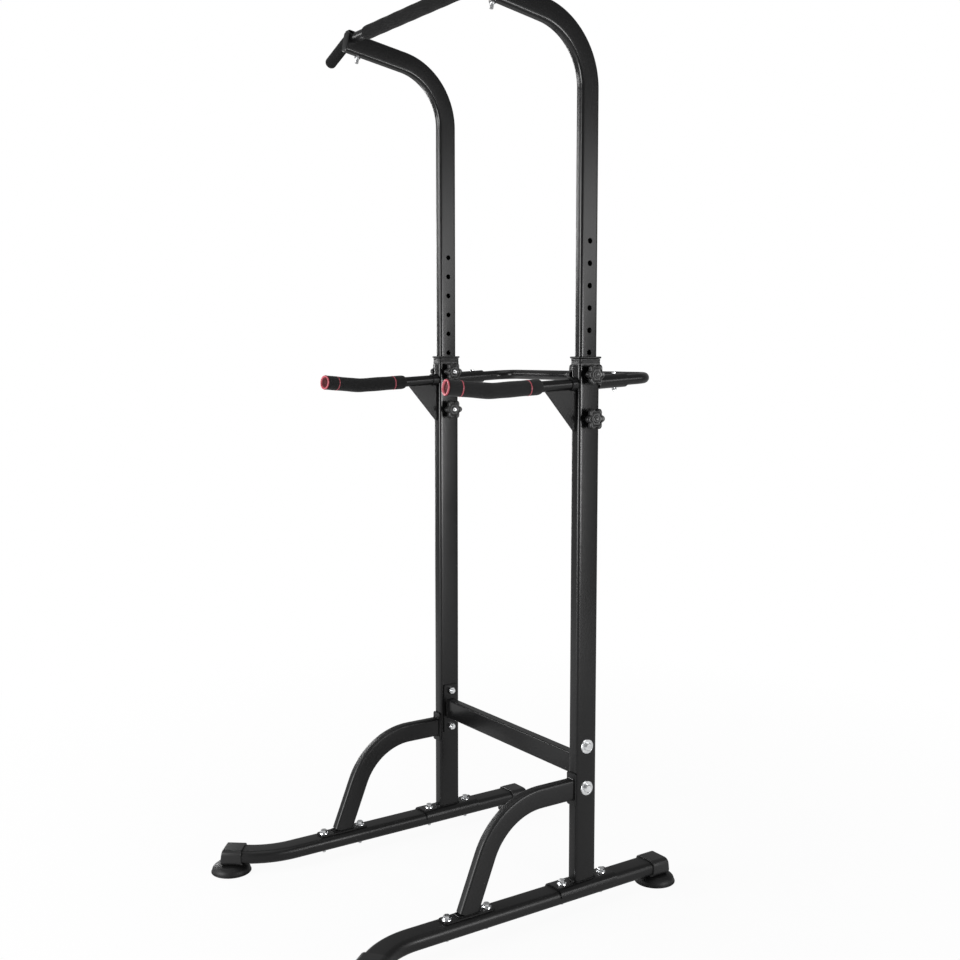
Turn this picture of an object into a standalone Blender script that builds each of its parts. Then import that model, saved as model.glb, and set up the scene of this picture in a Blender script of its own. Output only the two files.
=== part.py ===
"""Freestanding pull-up bar: a height-adjustable steel tower with dip handles.

Metres, +Z up. X runs across the tower, the dip handles and the pull-up bar
face -Y, and the origin is on the floor under the middle of the tower.
"""

import math

import bmesh
import bpy
from mathutils import Euler, Matrix, Vector

# Clearances
GAP = 0.0003                # between faces that touch
HOLE_PLAY = 0.0014          # how much wider than its bolt a hole is
MAST_HOLE_PLAY = 0.0034     # the same for the masts' height holes

# Tower
HALF_SPACING = 0.293        # middle of the tower to the middle of an upright
LOWER_WIDTH = 0.032         # lower upright, across (X)
LOWER_DEPTH = 0.060         # lower upright, front to back (Y)
LOWER_CORNER = 0.005
LOWER_WALL = 0.0015
TOP_ABOVE_DIP = 0.055       # lower upright's open end above the dip handles
MAST_CORNER = 0.004
MAST_WALL = 0.0015
MAST_TAIL = 0.040           # mast left below its lowest hole
MAST_CLEAR_LENGTH = 0.335   # from the top hole to where the mast bends forward
MAST_BEND_RADIUS = 0.155
ARM_RISE = math.radians(10)  # the mast's arm still climbs towards the front
ARM_LENGTH = 0.170          # straight run after the bend

# Height adjustment
HOLE_PITCH = 0.050
HOLE_COUNT = 9
HOLES_BETWEEN_LOCKS = 2
LOCK_BELOW_TOP = 0.0355     # upper lock bolt below the lower upright's end
LOCK_RADIUS = 0.0048
STAR_RADIUS = 0.0222        # mean radius of a star knob
STAR_WAVE = 0.0034          # how far its lobes stand out and in
STAR_LOBES = 6
STAR_THICKNESS = 0.014
STAR_BOSS_RADIUS = 0.011
STAR_BOSS_LENGTH = 0.012
STAR_UNDER = (0.0020, 0.94)  # chamfer under the star: its height, and the star's share there
STAR_TOP = (0.0030, 0.86)   # the same on top
STAR_SOCKET = 0.018         # how deep the bolt's end sits in its knob
KNOB_DISH_RADIUS = 0.0085
KNOB_DISH_FLOOR = 0.0060
KNOB_DISH_DEPTH = 0.0020
BOLT_STAND_OUT = 0.005      # bolt end proud of the star nut
BOLT_LEAD = 0.0010          # chamfer of that end
BOLT_TIP = 0.8              # share of its radius there
BUSH_SIDE = 0.0014          # rim bush's sleeve beside the mast
BUSH_FRONT = 0.0029         # and before and behind it
BUSH_LIP = 0.005            # thickness of the rim bush's lip
BUSH_OVERHANG = 0.0045
BUSH_SLEEVE = 0.024

# Feet
FOOT_WIDTH = 0.060
FOOT_HEIGHT = 0.034
FOOT_CORNER = 0.013
FOOT_WALL = 0.0018
FOOT_BOTTOM = 0.027
FOOT_REAR = 0.238
FOOT_STRAIGHT = 0.470       # from the upright forward to where the foot splays
FOOT_BEND_RADIUS = 0.180
FOOT_SPLAY = math.radians(38)
FOOT_TOE = 0.042            # straight run after the bend
CAP_WALL = 0.003
CAP_CORNER = 0.013
CAP_REACH = 0.037           # how much of the tube the cap covers
CAP_END = 0.018             # cap's end beyond the tube
CAP_EDGE = 0.0045           # rounding of that end
CAP_RAKE = 0.006            # its top edge stands this far behind its bottom one
CUP_RADIUS = 0.050
CUP_RIM = 0.003
CUP_LIP = 0.003
CUP_WALL = 0.005            # rubber between the cup's dome and its hollow
CUP_CROWN = 0.020           # radius of the dome's flat top
CUP_SETBACK = 0.004         # cup centre behind the tube's end

# Base plates and braces
PLATE = 0.004
SADDLE_LIP = 0.002          # below the rounding of the foot
SADDLE_LIP_WALL = 0.003
SADDLE_BOLT_OFF = 0.029     # saddle bolt from the upright's face
SADDLE_MARGIN = 0.026       # saddle's end beyond its bolt
BRACE_WIDTH = 0.025
BRACE_DEPTH = 0.050
BRACE_CORNER = 0.005
BRACE_WALL = 0.0018
BRACE_TOP = 0.289           # height of the brace's level end
BRACE_RADIUS = 0.165
BRACE_STRAIGHT = 0.125      # from the upright's middle to the brace's bend
BRACE_LEAN = math.radians(68)
BRACE_FLANGE_EDGE = 0.014   # flange above and below the brace's tube
BRACE_BOLT_OFF = 0.026      # sole bolt from the brace's tube
BRACE_SOLE_MARGIN = 0.014   # sole's end beyond its bolt
BRACE_SOLE_WIDTH = 0.034
BRACE_SOLE_CORNER = 0.007
FOOT_BOLT_RADIUS = 0.004
FOOT_BOLT_FLANGE = 0.0115   # radius of the flange under its head
FOOT_BOLT_FLANGE_THICKNESS = 0.0018
FOOT_BOLT_HEAD = 0.0150     # across flats
FOOT_BOLT_HEAD_TALL = 0.0082
FOOT_BOLT_END = 0.0045      # bolt beyond its nut
SMALL_NUT = 0.013           # across flats
SMALL_NUT_TALL = 0.0065

# Crossbar
CROSSBAR_HEIGHT = 0.339
CROSSBAR_TALL = 0.050
CROSSBAR_DEEP = 0.025
CROSSBAR_CORNER = 0.004
CROSSBAR_WALL = 0.0015
CROSSBAR_FLANGE_MARGIN = 0.016  # flange's end beyond its bolt
CROSSBAR_FLANGE_DEEP = 0.044
CROSSBAR_BOLT_OFF = 0.025   # bolt from the bar's top or bottom
CROSSBAR_BOLT_RADIUS = 0.005
CROSSBAR_BOLT_END = 0.004   # bolt beyond its nut
WASHER_RADIUS = 0.0175
WASHER = 0.002
BOLT_HEAD_RADIUS = 0.0095
BOLT_HEAD = 0.006
BOLT_HEAD_STRAIGHT = 0.0036  # the head is straight this far up and then tapers
BOLT_HEAD_CROWN = 0.0067
LOCK_NUT = 0.017            # across flats
LOCK_NUT_TALL = 0.009

# Dip handles and rear bar
DIP_HEIGHT = 1.236
DIP_TILT = math.radians(3)  # the rear end stands higher than the front
DIP_RADIUS = 0.0127
DIP_WALL = 0.0018
DIP_STRAIGHT = 0.265        # from the upright to where the handle turns inwards
DIP_INWARD = math.radians(8)
DIP_UPWARD = math.radians(5)
DIP_AFTER_KINK = 0.104
DIP_KINK_RADIUS = 0.110
DIP_FOAM = 0.0053           # thickness of the dip handle's foam
GRIP_SHOULDER = 0.012
SHOULDER_DROP = 0.62        # share of the foam's thickness that its shouldered end loses
DIP_GRIP_LENGTH = 0.238
DIP_COLLAR = 0.016          # length of the collar welded round the arm's root
DIP_COLLAR_WALL = 0.0030
GUSSET_LONG = 0.086
GUSSET_TALL = 0.098
GUSSET_THICKNESS = 0.004
RING_CAP = 0.0045           # thickness of the end plug's ring
RING_CAP_EDGE = 0.0027      # its rim is straight this far up
RING_CAP_FLOOR = 0.0020     # thickness inside the ring
RING_CAP_CROWN = (0.90, 0.72, 0.66)  # ring's outer and inner edge and its floor, of its radius
PLUG_DEPTH = 0.016
SOCKET_WALL = 0.0033
SOCKET_LENGTH = 0.086
REAR_BAR_DEPTH = 0.205
REAR_BAR_RADIUS = 0.050     # bend radius of its corners
REAR_BAR_INSERT = 0.060
SOCKET_BOLT_AT = 0.055      # behind the upright's back face
SOCKET_BOLT_RADIUS = 0.003
SOCKET_BOLT_HEAD = 0.0055   # radius
SOCKET_BOLT_HEAD_STRAIGHT = 0.0020
SOCKET_BOLT_HEAD_TALL = 0.0035
SOCKET_BOLT_CROWN = 0.0033
SOCKET_BOLT_NUT = 0.0099    # across flats
SOCKET_BOLT_NUT_TALL = 0.0045
SOCKET_BOLT_END = 0.003

# Pull-up bar
BAR_RADIUS = 0.0127
BAR_WALL = 0.0018
BAR_SETBACK = 0.020         # bar centre behind the arm's end
BAR_OUTSIDE = 0.015         # from the mast's middle to where the bar droops
BAR_BEND_RADIUS = 0.045
BAR_DROP = math.radians(21)
BAR_HANDLE = 0.0912
BAR_FOAM = 0.0040
BAR_GRIP_SHORT = 0.070      # foam's end inboard of the mast's middle
END_SLEEVE = 0.0018         # thickness of the rubber on the bar's handles
END_SLEEVE_ROOM = 0.003     # from the mast's side to the rubber
END_SLEEVE_LEAD = 0.97      # share of its radius at its open end
END_SLEEVE_TIP = ((0.004, 0.95), (0.008, 0.75), (0.0105, 0.36))  # beyond the bar, share of radius
CLAMP = 0.003
CLAMP_WIDTH = 0.022
CLAMP_FRONT = 0.018         # plate's front end before the bar's centre
CLAMP_TAIL = 0.012          # plate's rear end behind its bolt
CLAMP_BOLT_AT = 0.0205      # bolt behind the bar's centre
CLAMP_BOLT_RADIUS = 0.004
CLAMP_BOLT_PROUD = 0.018    # bolt's end below the arm
CLAMP_BOLT_LEAD = 0.001     # chamfer of that end
CLAMP_BOLT_TIP = 0.003
CLAMP_HEAD = 0.0125         # across flats
CLAMP_HEAD_TALL = 0.0055
CLAMP_HEAD_CROWN = 0.0050
END_PLATE = 0.003           # closes the mast's front end

# Facets
ROUND = 12
FASTENER_SIDES = 12
HOLE_SIDES = 8
STAR_STEPS = 24
CUP_STEPS = 16
CUP_RINGS = 4
CORNER_STEPS = 2
BEND_SAG = 0.0007           # how far a bend's facets may stand off its arc
SHORT_OF_END = 0.0001       # keeps a stretch's last point inside its path

# Finishes: colour, roughness, metallic
POWDER_COAT = ((0.035, 0.035, 0.036, 1), 0.45, 0.3)
FOAM = ((0.030, 0.030, 0.031, 1), 0.95, 0.0)
RED_PLASTIC = ((0.35, 0.045, 0.060, 1), 0.50, 0.0)
BLACK_PLASTIC = ((0.020, 0.020, 0.021, 1), 0.55, 0.0)
BLACK_RUBBER = ((0.022, 0.022, 0.023, 1), 0.80, 0.0)
ZINC = ((0.62, 0.62, 0.62, 1), 0.30, 1.0)

# Sizes that follow from the ones above
FOOT_TOP = FOOT_BOTTOM + FOOT_HEIGHT
PLATE_BOTTOM = FOOT_TOP + GAP
PLATE_TOP = PLATE_BOTTOM + PLATE
MAST_WIDTH = LOWER_WIDTH - 2 * (LOWER_WALL + BUSH_SIDE + 2 * GAP)
MAST_DEPTH = LOWER_DEPTH - 2 * (LOWER_WALL + BUSH_FRONT + 2 * GAP)
LOWER_TOP = DIP_HEIGHT + TOP_ABOVE_DIP
LOCK_HIGH = LOWER_TOP - LOCK_BELOW_TOP
LOCK_LOW = LOCK_HIGH - HOLES_BETWEEN_LOCKS * HOLE_PITCH
TOP_HOLE = LOCK_LOW + (HOLE_COUNT - 1) * HOLE_PITCH
MAST_BEND_START = TOP_HOLE + MAST_CLEAR_LENGTH
MAST_BOTTOM = LOCK_LOW - MAST_TAIL
DIP_SLOPE = math.tan(DIP_TILT)
UPRIGHT_FACE = LOWER_DEPTH / 2
UPRIGHT_SIDE = LOWER_WIDTH / 2
SADDLE_BOLT_REACH = UPRIGHT_FACE + SADDLE_BOLT_OFF
SADDLE_LENGTH = 2 * (SADDLE_BOLT_REACH + SADDLE_MARGIN)
BRACE_BOLT_REACH = BRACE_DEPTH / 2 / math.sin(BRACE_LEAN) + BRACE_BOLT_OFF
BRACE_PLATE_LENGTH = 2 * (BRACE_BOLT_REACH + BRACE_SOLE_MARGIN)
BRACE_FLANGE_HEIGHT = BRACE_DEPTH + 2 * BRACE_FLANGE_EDGE
CROSSBAR_BOLT_REACH = CROSSBAR_TALL / 2 + CROSSBAR_BOLT_OFF
CROSSBAR_FLANGE_TALL = 2 * (CROSSBAR_BOLT_REACH + CROSSBAR_FLANGE_MARGIN)
GRIP_RADIUS = DIP_RADIUS + DIP_FOAM
BAR_GRIP_RADIUS = BAR_RADIUS + BAR_FOAM
BAR_GRIP_HALF = HALF_SPACING - BAR_GRIP_SHORT
SLEEVE_RADIUS = BAR_RADIUS + END_SLEEVE
SLEEVE_START = HALF_SPACING + MAST_WIDTH / 2 + END_SLEEVE_ROOM
SOCKET_RADIUS = DIP_RADIUS + GAP + SOCKET_WALL
SIDE_VIEW = (math.pi / 2, 0, math.pi / 2)  # turns a slab to face across the tower


def clear_scene():
    for thing in list(bpy.data.objects):
        bpy.data.objects.remove(thing, do_unlink=True)


# Outlines

def round_rectangle(width, height, corner):
    """Points of a rectangle with round corners, counter-clockwise."""
    points = []
    for turn, (sx, sy) in enumerate(((1, 1), (-1, 1), (-1, -1), (1, -1))):
        cx = sx * (width / 2 - corner)
        cy = sy * (height / 2 - corner)
        for step in range(CORNER_STEPS + 1):
            angle = math.pi / 2 * (turn + step / CORNER_STEPS)
            points.append((cx + corner * math.cos(angle), cy + corner * math.sin(angle)))
    return points


def circle(radius, sides=ROUND):
    turn = 2 * math.pi / sides
    return [(radius * math.cos(turn * i), radius * math.sin(turn * i)) for i in range(sides)]


def bore(radius):
    """An outline that clears a round bar of this radius, however it is turned."""
    return circle((radius + GAP) / math.cos(math.pi / ROUND))


def hexagon(across_flats):
    """A hexagon of twelve points, so that it can follow a round ring."""
    points = []
    for i in range(12):
        angle = math.pi / 6 * i
        reach = across_flats / 2 / (math.cos(math.pi / 6) if i % 2 else 1)
        points.append((reach * math.cos(angle), reach * math.sin(angle)))
    return points


def star(scale=1.0):
    points = []
    for i in range(STAR_STEPS):
        angle = 2 * math.pi * i / STAR_STEPS
        reach = scale * (STAR_RADIUS + STAR_WAVE * math.cos(STAR_LOBES * angle))
        points.append((reach * math.cos(angle), reach * math.sin(angle)))
    return points


# Paths

def rounded_path(corners, radius):
    """The corners' polyline with each inner corner turned on an arc."""
    points = [Vector(corners[0])]
    for before, at, after in zip(corners, corners[1:], corners[2:]):
        before, at, after = Vector(before), Vector(at), Vector(after)
        into = (at - before).normalized()
        out = (after - at).normalized()
        turn = into.angle(out)
        trim = radius * math.tan(turn / 2)
        start = at - into * trim
        side = (out - into * into.dot(out)).normalized()
        centre = start + side * radius
        steps = max(2, math.ceil(turn / math.sqrt(8 * BEND_SAG / radius)))
        for step in range(steps + 1):
            angle = turn * step / steps
            points.append(centre - side * radius * math.cos(angle) + into * radius * math.sin(angle))
    points.append(Vector(corners[-1]))
    return points


def stretch_of(path, start, end):
    """The part of a path between two distances from its first point."""
    points = []
    run = 0.0
    for a, b in zip(path, path[1:]):
        length = (b - a).length
        for limit in (start, end):
            if run <= limit < run + length:
                points.append((limit, a.lerp(b, (limit - run) / length)))
        if start < run < end:
            points.append((run, a))
        run += length
    return [point for _, point in sorted(points, key=lambda item: item[0])]


def length_of(path):
    return sum((b - a).length for a, b in zip(path, path[1:]))


def extended(path, extra):
    """A path made longer at both ends, for a cutter that runs out of them."""
    first = path[0] + (path[0] - path[1]).normalized() * extra
    last = path[-1] + (path[-1] - path[-2]).normalized() * extra
    return [first, *path[1:-1], last]


def frames_along(path, side=None):
    """Each point's two cross directions. side keeps the first one fixed."""
    tangents = []
    for i, point in enumerate(path):
        before = path[max(i - 1, 0)]
        after = path[min(i + 1, len(path) - 1)]
        tangents.append((after - before).normalized())
    across = Vector(side) if side else tangents[0].orthogonal().normalized()
    frames = []
    for point, tangent in zip(path, tangents):
        if not side:
            across = (across - tangent * across.dot(tangent)).normalized()
        frames.append((point, across, tangent.cross(across)))
    return frames


# Meshes

def add_rings(bm, rings):
    """Joins rings of equal count with quads and returns their vertices."""
    made = [[bm.verts.new(point) for point in ring] for ring in rings]
    for low, high in zip(made, made[1:]):
        for i in range(len(low)):
            j = (i + 1) % len(low)
            bm.faces.new((low[i], low[j], high[j], high[i]))
    return made


def rings_on(path, outlines, side=None):
    """One ring for each path point, from its own outline."""
    rings = []
    for (point, across, up), outline in zip(frames_along(path, side), outlines):
        rings.append([point + across * a + up * b for a, b in outline])
    return rings


def rings_at(layers):
    """Level rings from (height, outline) pairs."""
    return [[(x, y, z) for x, y in outline] for z, outline in layers]


def mesh_object(name, bm, finish=None, smooth=True):
    bmesh.ops.remove_doubles(bm, verts=bm.verts, dist=1e-7)
    bmesh.ops.recalc_face_normals(bm, faces=bm.faces)
    mesh = bpy.data.meshes.new(name)
    bm.to_mesh(mesh)
    bm.free()
    if smooth:
        mesh.shade_smooth()
        mesh.set_sharp_from_angle(angle=math.radians(35))
    thing = bpy.data.objects.new(name, mesh)
    bpy.context.scene.collection.objects.link(thing)
    if finish:
        paint(thing, finish)
    return thing


def paint(thing, finish):
    colour, roughness, metallic = finish
    material = bpy.data.materials.new(thing.name)
    material.use_nodes = True
    shader = material.node_tree.nodes["Principled BSDF"]
    shader.inputs["Base Color"].default_value = colour
    shader.inputs["Roughness"].default_value = roughness
    shader.inputs["Metallic"].default_value = metallic
    material.diffuse_color = colour
    thing.data.materials.clear()
    thing.data.materials.append(material)


def solid_sweep(name, path, outline, side=None, finish=None):
    """A closed bar of one outline along a path."""
    bm = bmesh.new()
    rings = add_rings(bm, rings_on(path, [outline] * len(path), side))
    bm.faces.new(rings[0])
    bm.faces.new(rings[-1])
    return mesh_object(name, bm, finish)


def pipe(name, path, outers, inners, finish, side=None):
    """A tube that is open at both ends. outers and inners are one outline
    or one for each path point."""
    if isinstance(outers[0][0], float):
        outers = [outers] * len(path)
    if isinstance(inners[0][0], float):
        inners = [inners] * len(path)
    bm = bmesh.new()
    outer = add_rings(bm, rings_on(path, outers, side))
    inner = add_rings(bm, rings_on(path, inners, side))
    for end in (0, -1):
        bridge(bm, outer[end], inner[end])
    return mesh_object(name, bm, finish)


def bridge(bm, outer, inner):
    """Joins two rings of equal count with a band of quads."""
    for i in range(len(outer)):
        j = (i + 1) % len(outer)
        bm.faces.new((outer[i], outer[j], inner[j], inner[i]))


def blind_sleeve(name, outer, inner, finish):
    """A body with a pocket, which is open at the first rings."""
    bm = bmesh.new()
    outside = add_rings(bm, outer)
    inside = add_rings(bm, inner)
    bridge(bm, outside[0], inside[0])
    bm.faces.new(outside[-1])
    bm.faces.new(inside[-1])
    return mesh_object(name, bm, finish)


def stack(name, layers, finish):
    """A closed body of level outlines, bottom to top, round the Z axis.
    The first and the last layer are filled."""
    bm = bmesh.new()
    rings = add_rings(bm, rings_at(layers))
    bm.faces.new(rings[0])
    bm.faces.new(rings[-1])
    return mesh_object(name, bm, finish)


def spun(name, profile, finish, steps=ROUND):
    """A closed body turned from a profile of (radius, height) points."""
    bm = bmesh.new()
    verts = [bm.verts.new((r, 0, z)) for r, z in profile]
    edges = [bm.edges.new((a, b)) for a, b in zip(verts, verts[1:] + verts[:1])]
    bmesh.ops.spin(
        bm, geom=verts + edges, cent=(0, 0, 0), axis=(0, 0, 1),
        angle=2 * math.pi, steps=steps, use_merge=True,
    )
    bmesh.ops.dissolve_degenerate(bm, edges=bm.edges, dist=1e-7)
    return mesh_object(name, bm, finish)


def slab(name, outline, thickness, finish=None):
    """An outline in local XY, thickened evenly to both sides of Z = 0."""
    bm = bmesh.new()
    face = bm.faces.new([bm.verts.new((x, y, -thickness / 2)) for x, y in outline])
    grown = bmesh.ops.extrude_face_region(bm, geom=[face])
    moved = [v for v in grown["geom"] if isinstance(v, bmesh.types.BMVert)]
    bmesh.ops.translate(bm, verts=moved, vec=(0, 0, thickness))
    return mesh_object(name, bm, finish, smooth=False)


def rods(name, holes):
    """One mesh of straight round cutters: (middle, direction, radius, length)."""
    bm = bmesh.new()
    for middle, direction, radius, length in holes:
        turn = Vector(direction).to_track_quat("Z", "Y").to_matrix().to_4x4()
        place = Matrix.Translation(middle) @ turn
        bmesh.ops.create_cone(
            bm, cap_ends=True, segments=HOLE_SIDES, radius1=radius, radius2=radius,
            depth=length, matrix=place,
        )
    return mesh_object(name, bm)


def as_tool(thing):
    thing.hide_render = True
    thing.display_type = "WIRE"
    return thing


def combine(thing, tool, operation):
    if not tool.parent:
        tool.parent = thing
    modifier = thing.modifiers.new(tool.name, "BOOLEAN")
    modifier.operation = operation
    modifier.solver = "EXACT"
    modifier.object = as_tool(tool)


def join(thing, tool):
    combine(thing, tool, "UNION")


def cut(thing, tool):
    combine(thing, tool, "DIFFERENCE")


def place(thing, parent, location=(0, 0, 0), rotation=(0, 0, 0)):
    thing.parent = parent
    thing.location = location
    thing.rotation_euler = rotation
    return thing


def empty(name, location):
    thing = bpy.data.objects.new(name, None)
    thing.location = location
    bpy.context.scene.collection.objects.link(thing)
    return thing


# Feet

def foot_path(side):
    """Centre line of a foot, from its rear end to its splayed toe."""
    x = side * HALF_SPACING
    z = FOOT_BOTTOM + FOOT_HEIGHT / 2
    trim = FOOT_BEND_RADIUS * math.tan(FOOT_SPLAY / 2)
    knee = Vector((x, -FOOT_STRAIGHT - trim, z))
    toe = Vector((side * math.sin(FOOT_SPLAY), -math.cos(FOOT_SPLAY), 0))
    end = knee + toe * (trim + FOOT_TOE)
    return rounded_path([(x, FOOT_REAR, z), knee, end], FOOT_BEND_RADIUS)


def upright_y():
    """How far behind the tower's middle the uprights stand."""
    path = foot_path(1)
    toe = path[-1] - path[-2]
    front = path[-1].y - toe.normalized().y * CUP_SETBACK - CUP_RADIUS
    rear = FOOT_REAR - CUP_SETBACK + CUP_RADIUS
    return -(front + rear) / 2


def foot_bolt_places():
    middle = brace_foot_middle()
    return (
        ("upright_front", -SADDLE_BOLT_REACH),
        ("upright_rear", SADDLE_BOLT_REACH),
        ("brace_front", middle - BRACE_BOLT_REACH),
        ("brace_rear", middle + BRACE_BOLT_REACH),
    )


def make_foot(side, tag, frame):
    path = foot_path(side)
    outer = round_rectangle(FOOT_HEIGHT, FOOT_WIDTH, FOOT_CORNER)
    inner = round_rectangle(
        FOOT_HEIGHT - 2 * FOOT_WALL, FOOT_WIDTH - 2 * FOOT_WALL, FOOT_CORNER - FOOT_WALL)
    foot = pipe(f"foot_tube_{tag}", path, outer, inner, POWDER_COAT, side=(0, 0, 1))
    x = side * HALF_SPACING
    middle = FOOT_BOTTOM + FOOT_HEIGHT / 2
    holes = [
        ((x, y, middle), (0, 0, 1), FOOT_BOLT_RADIUS + HOLE_PLAY / 2, 2 * FOOT_HEIGHT)
        for _, y in foot_bolt_places()
    ]
    cut(foot, rods(f"foot_holes_{tag}", holes))
    place(foot, frame)
    for end, at, before in (("rear", path[0], path[1]), ("front", path[-1], path[-2])):
        make_foot_end(f"{end}_{tag}", at, (at - before).normalized(), frame)


def cap_rings():
    """Outlines of a foot cap along +Y, the tube's end at y = 0. The end is raked."""
    width = FOOT_WIDTH + 2 * (GAP + CAP_WALL)
    height = FOOT_HEIGHT + 2 * (GAP + CAP_WALL)
    stations = [(-CAP_REACH, 0.0)]
    for step in range(CORNER_STEPS + 1):
        angle = math.pi / 2 * step / CORNER_STEPS
        along = CAP_END - CAP_EDGE * (1 - math.sin(angle))
        stations.append((along, CAP_EDGE * (1 - math.cos(angle))))
    rings = []
    for along, inset in stations:
        outline = round_rectangle(
            width - 2 * inset, height - 2 * inset, CAP_CORNER - inset)
        rake = CAP_RAKE * max(along, 0) / CAP_END
        rings.append([(a, along - rake * (b / height + 0.5), b) for a, b in outline])
    return rings


def make_foot_end(tag, at, out, frame):
    """The cap on a foot's end, and the suction cup under it."""
    turn = math.atan2(-out.x, out.y)
    outline = round_rectangle(FOOT_WIDTH + 2 * GAP, FOOT_HEIGHT + 2 * GAP, FOOT_CORNER + GAP)
    pocket = [[(a, y, b) for a, b in outline] for y in (-CAP_REACH, GAP)]
    cap = blind_sleeve(f"foot_cap_{tag}", cap_rings(), pocket, BLACK_PLASTIC)
    place(cap, frame, at, (0, 0, turn))
    crown = FOOT_BOTTOM - 2 * GAP - CAP_WALL
    profile = [*cup_dome(crown), *reversed(cup_hollow(crown - CUP_WALL))]
    cup = spun(f"suction_cup_{tag}", profile, BLACK_RUBBER, steps=CUP_STEPS)
    spot = at - out * CUP_SETBACK
    place(cup, frame, (spot.x, spot.y, 0))


def cup_dome(crown):
    """Outside of a suction cup, from its crown down and out to its rim."""
    points = [(0, crown)]
    for step in range(CUP_RINGS + 1):
        angle = math.pi / 2 * step / CUP_RINGS
        reach = CUP_CROWN + (CUP_RADIUS - CUP_CROWN) * math.sin(angle)
        points.append((reach, CUP_LIP + (crown - CUP_LIP) * math.cos(angle)))
    return points + [(CUP_RADIUS, 0)]


def cup_hollow(height):
    """Hollow of a suction cup, from its middle down and out to its rim."""
    rim = CUP_RADIUS - CUP_RIM
    points = []
    for step in range(CUP_RINGS + 1):
        angle = math.pi / 2 * step / CUP_RINGS
        points.append((rim * math.sin(angle), height * math.cos(angle)))
    return points


def nut_layers(seat, radius, across_flats, tall, end):
    """A nut below its seat, with the bolt's end beyond it, bottom to top."""
    shank = circle(radius, FASTENER_SIDES)
    nut = hexagon(across_flats)
    below = seat - tall
    return [(below - end, shank), (below, shank), (below, nut), (seat, nut), (seat, shank)]


def make_foot_bolts(side, tag, frame):
    """Flange-headed bolts down through the plates and the foot tube."""
    seat = PLATE_TOP + GAP
    above = seat + FOOT_BOLT_FLANGE_THICKNESS
    flange = circle(FOOT_BOLT_FLANGE, FASTENER_SIDES)
    head = hexagon(FOOT_BOLT_HEAD)
    for name, y in foot_bolt_places():
        layers = [
            *nut_layers(
                FOOT_BOTTOM - GAP, FOOT_BOLT_RADIUS, SMALL_NUT, SMALL_NUT_TALL, FOOT_BOLT_END),
            (seat, circle(FOOT_BOLT_RADIUS, FASTENER_SIDES)),
            (seat, flange),
            (above, flange),
            (above, head),
            (above + FOOT_BOLT_HEAD_TALL, head),
        ]
        bolt = stack(f"foot_bolt_{name}_{tag}", layers, ZINC)
        place(bolt, frame, (side * HALF_SPACING, y, 0))


# Lower uprights

def saddle_outline():
    """Cross-section of the folded base plate, which hugs the foot."""
    middle = FOOT_WIDTH / 2 - FOOT_CORNER
    inner = FOOT_CORNER + GAP
    turn = PLATE_BOTTOM - inner
    low = turn - SADDLE_LIP
    right = []
    for across, up, steps in (
            (inner + SADDLE_LIP_WALL, inner + PLATE, range(CORNER_STEPS + 1)),
            (inner, inner, range(CORNER_STEPS, -1, -1))):
        for step in steps:
            angle = math.pi / 2 * step / CORNER_STEPS
            right.append((middle + across * math.cos(angle), turn + up * math.sin(angle)))
    folds = CORNER_STEPS + 1
    ends = [(right[-1][0], low), (right[0][0], low)]
    half = [*right[folds:], *ends, *right[:folds]]
    return half + [(-a, b) for a, b in reversed(half)]


def upright_crossings(side):
    """Bolts that pass through an upright from side to side."""
    x = side * HALF_SPACING
    across = 2 * LOWER_WIDTH
    locks = [
        ((x, 0, z), (1, 0, 0), LOCK_RADIUS + HOLE_PLAY / 2, across)
        for z in (LOCK_HIGH, LOCK_LOW)
    ]
    ties = [
        ((x, 0, CROSSBAR_HEIGHT + up), (1, 0, 0), CROSSBAR_BOLT_RADIUS + HOLE_PLAY / 2, across)
        for up in (-CROSSBAR_BOLT_REACH, CROSSBAR_BOLT_REACH)
    ]
    return locks, ties


def make_lower_upright(side, tag, frame):
    x = side * HALF_SPACING
    base = PLATE_BOTTOM + PLATE / 2
    outer = round_rectangle(LOWER_WIDTH, LOWER_DEPTH, LOWER_CORNER)
    inner = round_rectangle(
        LOWER_WIDTH - 2 * LOWER_WALL, LOWER_DEPTH - 2 * LOWER_WALL, LOWER_CORNER - LOWER_WALL)
    path = [Vector((x, 0, base)), Vector((x, 0, LOWER_TOP))]
    upright = solid_sweep(f"lower_upright_{tag}", path, outer, (1, 0, 0), POWDER_COAT)
    saddle = slab(f"base_saddle_{tag}", saddle_outline(), SADDLE_LENGTH)
    place(saddle, frame, (x, 0, 0), (math.pi / 2, 0, 0))
    join(upright, saddle)
    back = UPRIGHT_FACE - LOWER_WALL / 2
    socket_path = [dip_point(x, back), dip_point(x, UPRIGHT_FACE + SOCKET_LENGTH)]
    join(upright, solid_sweep(f"rear_socket_{tag}", socket_path, circle(SOCKET_RADIUS)))
    hollow_path = [Vector((x, 0, PLATE_TOP)), Vector((x, 0, LOWER_TOP + PLATE))]
    cut(upright, solid_sweep(f"upright_bore_{tag}", hollow_path, inner, (1, 0, 0)))
    socket_bore = [dip_point(x, UPRIGHT_FACE), dip_point(x, UPRIGHT_FACE + 2 * SOCKET_LENGTH)]
    cut(upright, solid_sweep(f"socket_bore_{tag}", socket_bore, bore(DIP_RADIUS)))
    cut(upright, rods(f"socket_hole_{tag}", [socket_bolt_hole(x)]))
    locks, ties = upright_crossings(side)
    cut(upright, rods(f"upright_holes_{tag}", locks + ties))
    bolt_holes = [
        ((x, y, PLATE_TOP), (0, 0, 1), FOOT_BOLT_RADIUS + HOLE_PLAY / 2, 6 * PLATE)
        for y in (-SADDLE_BOLT_REACH, SADDLE_BOLT_REACH)
    ]
    cut(upright, rods(f"saddle_holes_{tag}", bolt_holes))
    place(upright, frame)


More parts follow.
